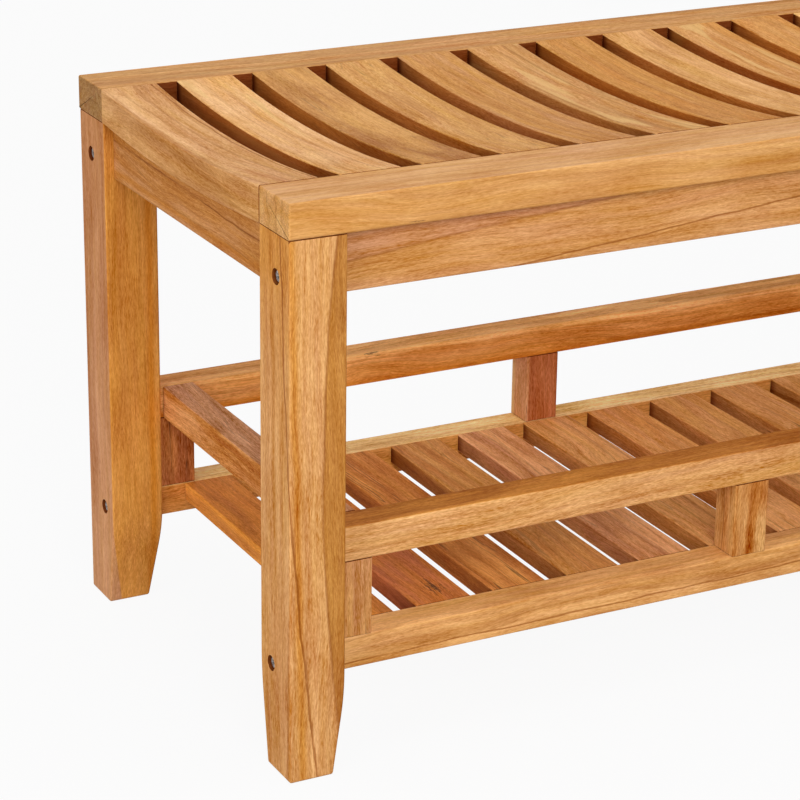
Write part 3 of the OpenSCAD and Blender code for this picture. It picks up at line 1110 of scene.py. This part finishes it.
def beech(name):
    """Pale, close-grained dowel wood, with its flecks along the dowel."""
    material, graph = new_material(name)
    place = graph.add("ShaderNodeTexCoord")["Object"]
    fibre = graph.noise(place * (900.0, 900.0, 40.0), 3.0, 0.6)
    fleck = graph.noise(place * (1600.0, 1600.0, 260.0), 1.0, 0.5).rise(0.60, 0.70)
    colour = graph.mix((0.66, 0.45, 0.25), (0.48, 0.28, 0.13), fibre.rise(0.3, 0.8))
    colour = graph.mix(colour, (0.30, 0.16, 0.07), fleck * 0.6)
    graph.surface(colour, 0.55 + fibre * 0.2, fibre, 0.5, 0.06 * MM, {})
    return material


def plated_steel(name):
    """Dull zinc-plated steel with rubbed and smudged patches."""
    material, graph = new_material(name)
    place = graph.add("ShaderNodeTexCoord")["Object"]
    smudge = graph.noise(place * (420.0, 420.0, 420.0), 3.0, 0.6)
    scratch = graph.noise(place * (700.0, 5200.0, 5200.0), 2.0, 0.6)
    colour = graph.mix((0.17, 0.15, 0.14), (0.62, 0.60, 0.58), smudge.rise(0.32, 0.68))
    colour = colour * (0.86 + scratch * 0.28)
    graph.surface(colour, 0.30 + smudge * 0.24, scratch, 0.4, 0.02 * MM, {"Metallic": 1.0})
    return material


# ---- Joinery ----


def at(x, y, z):
    """A point measured from the floor under the bench's front left corner."""
    return Vector((LOW.x + x, LOW.y + y, z))


def screw_bore(name, place):
    """Recess, clearance and pilot holes for a screw through a leg's end face."""
    y, z = place
    start = at(LEG_SET, y, z)
    before = start - Vector((SPARE, 0, 0))
    depth = RECESS_DEPTH + SCREW_L + SPARE
    return [
        peg(name + "_recess", before, (1, 0, 0), RECESS_D, RECESS_DEPTH + SPARE, 48),
        peg(name + "_bore", start, (1, 0, 0), SCREW_D + 2 * GLUE, depth, 24),
    ]


def dowel_bores(name, feet, dowel):
    """Upright holes for dowels, each from (x, y, z), where dowel is a diameter and a length."""
    return [
        peg(
            f"{name}_dowel_{number}", (x, y, z - SPARE),
            (0, 0, 1), dowel.x + 2 * GLUE, dowel.y + 2 * SPARE, 32,
        )
        for number, (x, y, z) in enumerate(feet)
    ]


def leg_dowel_bores(name):
    foot = SEAT_Z - LEG_DOWEL.y / 2
    feet = [(LOW.x + LEG_DOWEL_X, LOW.y + y, foot) for y in LEG_DOWEL_Y]
    return dowel_bores(name, feet, LEG_DOWEL)


def post_dowel_bores(places):
    """Holes under and over the front posts."""
    levels = (SHELF_TOP - POST_DOWEL_IN_RAIL, RIM_Z + POST_DOWEL_IN_RAIL - POST_DOWEL.y)
    bores = []
    for place in places:
        low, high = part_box(f"post_front_{place}")
        feet = [((low.x + high.x) / 2, LOW.y + POST_LINE, z) for z in levels]
        bores += dowel_bores(place, feet, POST_DOWEL)
    return bores


def at_both_ends(bores):
    """Bores at the left end, and their mirror images at the right end."""
    return bores + [copied(bore, "right_" + bore.name, mirrored(X)) for bore in bores]


def rail_mortises(nodes, face, size, middle):
    """Cutters for the tenons of boards that end in a rail's inner face, at a height."""
    cutters = []
    for node in nodes:
        low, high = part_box(node)
        half = size.thickness / 2
        cutters.append(block(
            node + "_mortise",
            (low.x + size.shoulder - GLUE, face - size.length - GLUE, middle - half - GLUE),
            (high.x - size.shoulder + GLUE, face + SPARE, middle + half + GLUE),
        ))
    return cutters


def foot_inset(z, axis):
    """How far a leg's inner face lies back at a height, for its taper below a soft bend."""
    taper, bend = FOOT_TAPER[axis], FOOT_BEND[axis]
    top, foot = bend + FOOT_BEND_H, bend - FOOT_BEND_H
    slope = taper / bend
    if z >= top:
        return 0.0
    if z <= foot:
        return slope * (bend - z)
    share = (top - z) / (top - foot)
    return share * share * slope * FOOT_BEND_H


def on_leg_corner(edge):
    """Whether both ends of an edge stand at a corner of the leg's section at their heights."""
    for corner in edge.verts:
        for axis in (X, Y):
            inner = LOW[axis] + LEG_IN[axis] - foot_inset(corner.co.z, axis)
            outer = LOW[axis] + LEG_SET
            if min(abs(corner.co[axis] - outer), abs(corner.co[axis] - inner)) > 2 * NEAR:
                return False
    return True


def is_recess_rim(edge):
    face = LOW.x + LEG_SET
    if not (is_crisp(edge) and lies_on(X, face)(edge)):
        return False
    return any(
        abs((middle_of(edge) - at(LEG_SET, y, z)).length - RECESS_D / 2) < RIM_SLACK
        for y, z in (UPPER_SCREW, LOWER_SCREW)
    )


def model_leg():
    """The front left leg."""
    leg = block("leg", at(LEG_SET, LEG_SET, 0), at(LEG_IN.x, LEG_IN.y, SEAT_Z))
    levels = sorted(
        FOOT_BEND[axis] + FOOT_BEND_H * (1 - 2 * step / FOOT_BEND_STEPS)
        for axis in (X, Y) for step in range(FOOT_BEND_STEPS + 1)
    )
    slice_at(leg, Z, levels)
    with editing(leg, "VERT"):
        for z in [0.0, *levels]:
            for axis in (X, Y):
                inset, inner = foot_inset(z, axis), LOW[axis] + LEG_IN[axis]
                if inset <= 0:
                    continue
                choose(
                    leg, "verts",
                    lambda v: abs(v.co.z - z) < NEAR and abs(v.co[axis] - inner) < NEAR,
                )
                bpy.ops.transform.translate(value=toward(axis, -inset))
    y, foot = UPPER_SCREW[0], APRON_Z + TENON_FOOT
    x = APRON_SET_X + APRON_T / 2
    cut(leg, [
        *screw_bore("upper", UPPER_SCREW),
        *screw_bore("lower", LOWER_SCREW),
        *leg_dowel_bores("top"),
        block(
            "front_mortise",
            at(LEG_IN.x - FRONT_TENON.x - GLUE, y - FRONT_TENON.y / 2 - GLUE, foot - GLUE),
            at(LEG_IN.x + SPARE, y + FRONT_TENON.y / 2 + GLUE, foot + FRONT_TENON.z + GLUE),
        ),
        block(
            "end_mortise",
            at(x - END_TENON.x / 2 - GLUE, LEG_IN.y - END_TENON.y - GLUE, foot - GLUE),
            at(x + END_TENON.x / 2 + GLUE, LEG_IN.y + SPARE, foot + END_TENON.z + GLUE),
        ),
    ])
    edges = bpy.context.scene.eased_edges
    long_edge = both(is_crisp, runs_along(Z), on_leg_corner)
    ease(leg, [(edges.leg, long_edge), (edges.recess, is_recess_rim)])
    ease(leg, [(edges.joint, lies_on(Z, SEAT_Z)), (edges.leg, lies_on(Z, 0.0))])
    return leg


def model_seat_rail():
    """The front seat rail."""
    low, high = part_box("seat_rail_front")
    rail = block("seat_rail", low, high)
    nodes = [SEAT_END_SLATS[0], *SEAT_SLATS, SEAT_END_SLATS[1]]
    mortises = rail_mortises(nodes, high.y, SEAT_TENON, SEAT_Z + SEAT_T / 2)
    cut(rail, mortises + at_both_ends(leg_dowel_bores("left")))
    edges = bpy.context.scene.eased_edges
    outside, inside = lies_on(Y, low.y), lies_on(Y, high.y)
    top, underside = lies_on(Z, high.z), lies_on(Z, low.z)
    ease(rail, [(edges.rail_under, both(outside, underside))], segments=5)
    ease(rail, [
        (edges.rail, both(outside, top)),
        (edges.joint, both(inside, either(top, underside))),
        (edges.rail_end, both(is_crisp, on_box(low, high, X))),
    ], segments=4)
    return rail


def model_seat_slat(node):
    """A dished seat slat with its tenons, at the place of its node."""
    low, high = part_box(node)
    end_y = HIGH.y - SEAT_RAIL_W - SHOULDER_GAP
    slat = block("seat_slat", (low.x, -end_y, SEAT_Z), (high.x, end_y, HIGH.z))
    slice_at(slat, Y, DISH_RINGS)
    hang(slat, HIGH.z, DISH_TOP, DISH_RINGS[1:-1])
    hang(slat, SEAT_Z, DISH_UNDER, DISH_RINGS[1:-1])
    section = (high.x - low.x - 2 * SEAT_TENON.shoulder, SEAT_TENON.thickness)
    length = SEAT_TENON.length + SHOULDER_GAP
    for outward in (-1, 1):
        tenon(slat, Y, outward * end_y, outward, SEAT_TENON.shoulder, section, length)

    on_shoulder = either(lies_on(Y, -end_y), lies_on(Y, end_y))
    top, underside = lies_on(Z, HIGH.z), lies_on(Z, SEAT_Z)

    def round_shoulder(edge):
        """Whether an edge is part of the slat's outline, and not of its tenon's."""
        heights = [corner.co.z for corner in edge.verts]
        upright = all(any(abs(z - end) < NEAR for z in heights) for end in (SEAT_Z, HIGH.z))
        return upright or top(edge) or underside(edge)

    def is_upper(edge):
        return middle_of(edge).z > SEAT_Z + SEAT_T / 2

    edges = bpy.context.scene.eased_edges
    side = both(is_crisp, runs_along(Y), on_box(low, high, X))
    ease(slat, [
        (edges.joint, both(on_shoulder, round_shoulder)),
        (edges.slat, both(side, is_upper)),
        (edges.slat * 0.6, both(side, lambda edge: not is_upper(edge))),
    ])
    return slat


def model_plain_board(name, low, high, axis, gap, cutters=()):
    """A straight board with a gap at each end. Gives it with the corners of its box."""
    start, stop = Vector(low), Vector(high)
    start[axis] += gap
    stop[axis] -= gap
    board = block(name, start, stop)
    if cutters:
        cut(board, cutters)
    return board, start, stop


def model_cross_board(name, node, size, inset, gap, radius):
    """A straight board that runs from front to back, with a tenon at each end."""
    low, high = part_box(node)
    low.y, high.y = low.y + size.length, high.y - size.length
    board, start, stop = model_plain_board(name, low, high, Y, gap)
    section = (high.x - low.x - 2 * size.shoulder, size.thickness)
    for outward, place in ((-1, start.y), (1, stop.y)):
        tenon(board, Y, place, outward, inset, section, size.length + gap)
    joint = bpy.context.scene.eased_edges.joint
    ease(board, [(joint, rim_edge(start, stop, Y)), (radius, box_edge(start, stop, Y))])
    return board


def model_end_apron():
    """The left apron, whose upper edge follows its slat's belly."""
    x, top = LOW.x + APRON_SET_X, SEAT_Z - APRON_CLEAR
    end_y = HIGH.y - LEG_IN.y - SHOULDER_GAP
    apron = block("end_apron", (x, -end_y, APRON_Z), (x + APRON_T, end_y, top))
    rings = [y for y in DISH_RINGS if abs(y) < end_y - SPARE]
    slice_at(apron, Y, rings)
    hang(apron, top, DISH_UNDER, [*rings, -end_y, end_y])
    lift = APRON_Z + TENON_FOOT + END_TENON.z / 2
    for outward in (-1, 1):
        with editing(apron, "FACE"):
            section = (END_TENON.x, END_TENON.z)
            middle = inset_end(apron, Y, outward * end_y, INSET, section)
            bpy.ops.transform.translate(value=toward(Z, lift - middle.z))
            extrude(toward(Y, outward * (END_TENON.y + SHOULDER_GAP)))
    edges = bpy.context.scene.eased_edges
    near_seat = SEAT_Z - 12 * MM
    sides = either(lies_on(X, x), lies_on(X, x + APRON_T))
    upper = both(sides, runs_along(Y), is_crisp, lambda edge: edge.verts[0].co.z > near_seat)
    lower = both(lies_on(Z, APRON_Z), runs_along(Y))
    ease(apron, [(edges.joint, upper), (edges.apron, lower)])
    return apron


def model_screw(face):
    """A screw along +X from its head's face: a cross-recessed head with an eased rim, a shank and a
    point.
    """
    direction = Vector((1, 0, 0))
    screw = peg("screw", face, direction, HEAD_D, HEAD_H, 48)
    with editing(screw, "FACE"):
        choose(screw, "faces", lies_on(X, face.x + HEAD_H))
        bpy.ops.mesh.inset(thickness=(HEAD_D - SCREW_D) / 2)
        extrude(direction * (SCREW_L - SCREW_POINT))
        extrude(direction * SCREW_POINT)
        point = chosen_face(screw).calc_center_median()
        bpy.ops.transform.resize(value=(1, 0.2, 0.2), center_override=point)
    bars = []
    for number, half in enumerate(CROSS_BARS):
        bottom = Vector((CROSS_DEPTH, 0, 0))
        start = face - half - Vector((CROSS_START, 0, 0))
        bar = block(f"bar_{number}", start, face + half + bottom)
        with editing(bar, "FACE"):
            choose(bar, "faces", lies_on(X, face.x + CROSS_DEPTH))
            bpy.ops.transform.resize(value=(1, 0.5, 0.5), center_override=face + bottom)
        bars.append(bar)
    cut(screw, bars)

    def on_rim(edge):
        across = (middle_of(edge) - face).yz
        return across.length > HEAD_D / 2 * 0.98

    ease(screw, [(HEAD_EASE, both(lies_on(X, face.x), is_crisp, on_rim))], segments=5)
    return screw


# ---- Operators ----


class BenchPiece:
    bl_options = {"REGISTER", "UNDO"}


class BENCH_OT_legs(BenchPiece, bpy.types.Operator):
    """Model the four legs, with their tapered feet, screw recesses and mortises"""

    bl_idname = "bench.legs"
    bl_label = "Legs"

    def execute(self, context):
        moves = {f"leg_{side}_{end}": to_corner(side, end) for side in SIDES for end in ENDS}
        set_out(model_leg(), moves, Z, "leg", joints=(1,))
        return {"FINISHED"}


class BENCH_OT_seat_rails(BenchPiece, bpy.types.Operator):
    """Model the two seat rails, with mortises for the slats"""

    bl_idname = "bench.seat_rails"
    bl_label = "Seat Rails"

    def execute(self, context):
        moves = {f"seat_rail_{side}": to_corner(side) for side in SIDES}
        set_out(
            model_seat_rail(), moves, X, "seat", joints=(),
            gaps=lambda node: [inward(node), (Z, -1)],
        )
        return {"FINISHED"}


class BENCH_OT_seat_slats(BenchPiece, bpy.types.Operator):
    """Model the dished seat slats and the two end slats, with their tenons"""

    bl_idname = "bench.seat_slats"
    bl_label = "Seat Slats"

    def execute(self, context):
        for nodes in (SEAT_SLATS, SEAT_END_SLATS):
            moves = {node: beside(nodes[0], node) for node in nodes}
            set_out(
                model_seat_slat(nodes[0]), moves, Y, "seat",
                gaps=lambda node: [*slat_gaps(node), (Z, -1)],
            )
        return {"FINISHED"}


class BENCH_OT_long_aprons(BenchPiece, bpy.types.Operator):
    """Model the aprons under the seat rails"""

    bl_idname = "bench.long_aprons"
    bl_label = "Long Aprons"

    def execute(self, context):
        low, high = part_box("apron_front")
        low.x, high.x = low.x + FRONT_TENON.x, high.x - FRONT_TENON.x
        apron, start, stop = model_plain_board("apron", low, high, X, SHOULDER_GAP)
        section, length = FRONT_TENON.yz, FRONT_TENON.x + SHOULDER_GAP
        for outward, place in ((-1, start.x), (1, stop.x)):
            tenon(apron, X, place, outward, INSET, section, length)
        cut(apron, at_both_ends(screw_bore("left", UPPER_SCREW)))
        edges, long_edge = context.scene.eased_edges, box_edge(start, stop, X)
        lower = both(long_edge, lies_on(Z, start.z))
        ease(apron, [(edges.joint, long_edge), (edges.apron, lower)])
        moves = {f"apron_{side}": to_corner(side) for side in SIDES}
        set_out(apron, moves, X, "apron", gaps=lambda node: [inward(node)])
        return {"FINISHED"}


class BENCH_OT_end_aprons(BenchPiece, bpy.types.Operator):
    """Model the aprons under the seat end slats, whose upper edges follow the slats' bellies"""

    bl_idname = "bench.end_aprons"
    bl_label = "End Aprons"

    def execute(self, context):
        moves = {f"apron_{end}": to_corner(end=end) for end in ENDS}
        set_out(model_end_apron(), moves, Y, "apron", gaps=lambda node: [inward(node)])
        return {"FINISHED"}


class BENCH_OT_shelf_rails(BenchPiece, bpy.types.Operator):
    """Model the two shelf rails, with mortises for the shelf slats"""

    bl_idname = "bench.shelf_rails"
    bl_label = "Shelf Rails"

    def execute(self, context):
        low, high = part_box("shelf_rail_front")
        slat_low, slat_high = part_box(SHELF_SLATS[0])
        nodes = [SHELF_END_SLATS[0], *SHELF_SLATS, SHELF_END_SLATS[1]]
        middle = (slat_low.z + slat_high.z) / 2
        rail, start, stop = model_plain_board("shelf_rail", low, high, X, SHOULDER_GAP, [
            *rail_mortises(nodes, high.y, SHELF_TENON, middle),
            *post_dowel_bores(POSTS),
            *at_both_ends(screw_bore("left", LOWER_SCREW)),
        ])
        edges, long_edge = context.scene.eased_edges, box_edge(start, stop, X)
        inner_top = both(long_edge, lies_on(Y, stop.y), lies_on(Z, stop.z))
        ease(rail, [(edges.rail, long_edge), (edges.joint, inner_top)])
        moves = {f"shelf_rail_{side}": to_corner(side) for side in SIDES}
        set_out(rail, moves, X, "rail")
        return {"FINISHED"}


class BENCH_OT_shelf_slats(BenchPiece, bpy.types.Operator):
    """Model the shelf slats and the two shelf end slats, with their tenons"""

    bl_idname = "bench.shelf_slats"
    bl_label = "Shelf Slats"

    def execute(self, context):
        radius = context.scene.eased_edges.shelf
        for nodes in (SHELF_SLATS, SHELF_END_SLATS):
            slat = model_cross_board(
                "shelf_slat", nodes[0], SHELF_TENON, SHELF_INSET, SHOULDER_GAP, radius
            )
            moves = {node: beside(nodes[0], node) for node in nodes}
            set_out(slat, moves, Y, "shelf", gaps=slat_gaps)
        return {"FINISHED"}


class BENCH_OT_posts(BenchPiece, bpy.types.Operator):
    """Model the six posts between the shelf rails and the rim rails"""

    bl_idname = "bench.posts"
    bl_label = "Posts"

    def execute(self, context):
        low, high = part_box("post_front_left")
        post, start, stop = model_plain_board(
            "post", low, high, Z, SHOULDER_GAP / 2, post_dowel_bores(["left"])
        )
        edges = context.scene.eased_edges
        ease(post, [
            (edges.joint, rim_edge(start, stop, Z)),
            (edges.rail, box_edge(start, stop, Z)),
        ])
        moves = {
            f"post_{side}_{place}":
                to_corner(side) @ beside("post_front_left", f"post_{side}_{place}")
            for side in SIDES for place in POSTS
        }
        set_out(post, moves, Z, "shelf")
        return {"FINISHED"}


class BENCH_OT_rim_rails(BenchPiece, bpy.types.Operator):
    """Model the two long rim rails and the two end rim rails of the shelf basket"""

    bl_idname = "bench.rim_rails"
    bl_label = "Rim Rails"

    def execute(self, context):
        radius = context.scene.eased_edges.rail
        low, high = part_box("rim_rail_front")
        end_nodes = [f"rim_rail_{end}" for end in ENDS]
        rail, start, stop = model_plain_board("rim_rail", low, high, X, SHOULDER_GAP, [
            *rail_mortises(end_nodes, high.y, RIM_TENON, (low.z + high.z) / 2),
            *post_dowel_bores(POSTS),
        ])
        ease(rail, [(radius, box_edge(start, stop, X))])
        moves = {f"rim_rail_{side}": to_corner(side) for side in SIDES}
        set_out(rail, moves, X, "rail")

        rail = model_cross_board(
            "end_rim_rail", end_nodes[0], RIM_TENON, INSET, SHOULDER_GAP / 2, radius
        )
        moves = {f"rim_rail_{end}": to_corner(end=end) for end in ENDS}
        set_out(rail, moves, Y, "rail")
        return {"FINISHED"}


class BENCH_OT_screws(BenchPiece, bpy.types.Operator):
    """Model the eight cross-recess screws in the legs"""

    bl_idname = "bench.screws"
    bl_label = "Screws"

    def execute(self, context):
        material = material_named("plated_steel", plated_steel)
        for node, (y, z) in (("apron_screws", UPPER_SCREW), ("shelf_screws", LOWER_SCREW)):
            first = model_screw(at(LEG_SET + RECESS_DEPTH - HEAD_H, y, z))
            screws = [
                copied(first, f"{node}_{side}_{end}", to_corner(side, end))
                for side in SIDES for end in ENDS
            ]
            bpy.data.objects.remove(first)
            group = joined(screws, node + "_steel")
            select_only(group)
            bpy.ops.object.shade_smooth_by_angle(angle=radians(35))
            dress(group, material)
            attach(group, "root")
            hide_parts(node)
        return {"FINISHED"}


class BENCH_OT_dowels(BenchPiece, bpy.types.Operator):
    """Give the hidden dowels their wood"""

    bl_idname = "bench.dowels"
    bl_label = "Dowels"

    def execute(self, context):
        material = material_named("pale_dowel_wood", beech)
        for node in ("leg_dowels", "post_dowels"):
            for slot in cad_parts[node].material_slots:
                slot.material = material
        return {"FINISHED"}


# ---- Studio ----

WHITE = (1, 1, 1, 1)
FLOOR_GREY = (0.56, 0.56, 0.56, 1)
FLOOR_WHITENESS = 0.93  # as the camera sees it, so that the bench's shadow stays
LIGHTS = (
    # name, place, size, power
    ("front_light", (-0.75, -2.55, 1.66), 1.4, 38),
    ("left_light", (-2.7, -1.05, 0.95), 1.7, 28),
    ("top_light", (0.0, -0.3, 3.25), 1.7, 20),
    ("back_light", (0.6, 2.5, 1.2), 1.7, 5),
    ("right_light", (2.6, -0.5, 0.75), 1.7, 8),
)
LIGHTS_AIM = Vector((0, 0, 0.25))


class BENCH_OT_studio(BenchPiece, bpy.types.Operator):
    """Set the camera, the floor and the soft light"""

    bl_idname = "bench.studio"
    bl_label = "Studio"

    def execute(self, context):
        scene, studio = context.scene, context.scene.studio
        scene.view_settings.view_transform = "Standard"
        scene.camera = studio_camera(studio)
        studio_floor()
        studio_world(scene, studio.sky)
        for name, place, size, power in LIGHTS:
            soft_light(name, Vector(place), size, power * studio.key)
        return {"FINISHED"}


def studio_camera(studio):
    azimuth, elevation = studio.camera_azimuth, studio.camera_elevation
    roll = studio.camera_roll
    level = Vector((cos(azimuth), sin(azimuth), 0))
    forward = Vector((
        -sin(azimuth) * cos(elevation), cos(azimuth) * cos(elevation), -sin(elevation),
    ))
    upright = level.cross(forward)
    right = level * cos(roll) + upright * sin(roll)
    up = upright * cos(roll) - level * sin(roll)
    data = bpy.data.cameras.new("camera")
    data.sensor_width = 36
    data.lens = studio.lens
    data.clip_start, data.clip_end = 0.05, 60
    camera = bpy.data.objects.new("camera", data)
    bpy.context.scene.collection.objects.link(camera)
    turn = Matrix((right, up, -forward)).transposed().to_4x4()
    camera.matrix_world = Matrix.Translation(studio.camera_place) @ turn
    return camera


def studio_floor():
    bpy.ops.object.select_all(action="DESELECT")
    bpy.ops.mesh.primitive_plane_add(size=24, location=(0, 0, 0))
    floor = bpy.context.object
    floor.name = floor.data.name = "floor"
    material, graph = new_material("floor_white")
    ray = graph.add("ShaderNodeLightPath")
    seen = (ray["Is Camera Ray"] + ray["Is Glossy Ray"] + ray["Is Transmission Ray"]).capped()
    matt = graph.add("ShaderNodeBsdfDiffuse", {}, {"Color": FLOOR_GREY})["BSDF"]
    glow = {"Color": WHITE, "Strength": 1.0}
    white = graph.add("ShaderNodeEmission", {}, glow)["Emission"]
    sides = {0: seen * FLOOR_WHITENESS, 1: matt, 2: white}
    shader = graph.add("ShaderNodeMixShader", {}, sides)["Shader"]
    graph.add("ShaderNodeOutputMaterial", {}, {"Surface": shader})
    dress(floor, material)
    return floor


def studio_world(scene, strength):
    world = bpy.data.worlds.new("studio_white")
    scene.world = world
    world.use_nodes = True
    graph = Graph(world.node_tree)
    ray = graph.add("ShaderNodeLightPath")
    seen = (ray["Is Camera Ray"] + ray["Is Transmission Ray"]).capped()
    glow = {"Color": WHITE, "Strength": strength + (1 - strength) * seen}
    white = graph.add("ShaderNodeBackground", {}, glow)["Background"]
    graph.add("ShaderNodeOutputWorld", {}, {"Surface": white})


def soft_light(name, place, size, power):
    data = bpy.data.lights.new(name, "AREA")
    data.shape, data.size, data.energy = "DISK", size, power
    lamp = bpy.data.objects.new(name, data)
    bpy.context.scene.collection.objects.link(lamp)
    lamp.location = place
    lamp.rotation_euler = (LIGHTS_AIM - place).to_track_quat("-Z", "Y").to_euler()


class BENCH_PT_panel(bpy.types.Panel):
    """Lists the bench's pieces and the studio"""

    bl_idname = "BENCH_PT_panel"
    bl_label = "Teak Shower Bench"
    bl_space_type = "VIEW_3D"
    bl_region_type = "UI"
    bl_category = "Bench"

    def draw(self, context):
        column = self.layout.column()
        for operator in STEPS:
            column.operator(operator.bl_idname)
        for group in SETTINGS:
            settings, box = getattr(context.scene, group), self.layout.box()
            for name in settings.bl_rna.properties.keys():
                if name not in ("rna_type", "name"):
                    box.prop(settings, name)


STEPS = (
    BENCH_OT_legs, BENCH_OT_seat_rails, BENCH_OT_seat_slats, BENCH_OT_long_aprons,
    BENCH_OT_end_aprons, BENCH_OT_shelf_rails, BENCH_OT_shelf_slats, BENCH_OT_posts,
    BENCH_OT_rim_rails, BENCH_OT_screws, BENCH_OT_dowels, BENCH_OT_studio,
)
SETTINGS = {
    "eased_edges": EasedEdges, "teak_colours": TeakColours, "teak_grain": TeakGrain,
    "studio": Studio,
}


def register():
    for item in (*SETTINGS.values(), *STEPS, BENCH_PT_panel):
        bpy.utils.register_class(item)
    for name, settings in SETTINGS.items():
        setattr(bpy.types.Scene, name, bpy.props.PointerProperty(type=settings))


def unregister():
    for name in SETTINGS:
        delattr(bpy.types.Scene, name)
    for item in (BENCH_PT_panel, *reversed(STEPS), *reversed(SETTINGS.values())):
        bpy.utils.unregister_class(item)


def main():
    register()
    for operator in STEPS:
        group, name = operator.bl_idname.split(".")
        getattr(getattr(bpy.ops, group), name)()


if __name__ == "__main__":
    main()
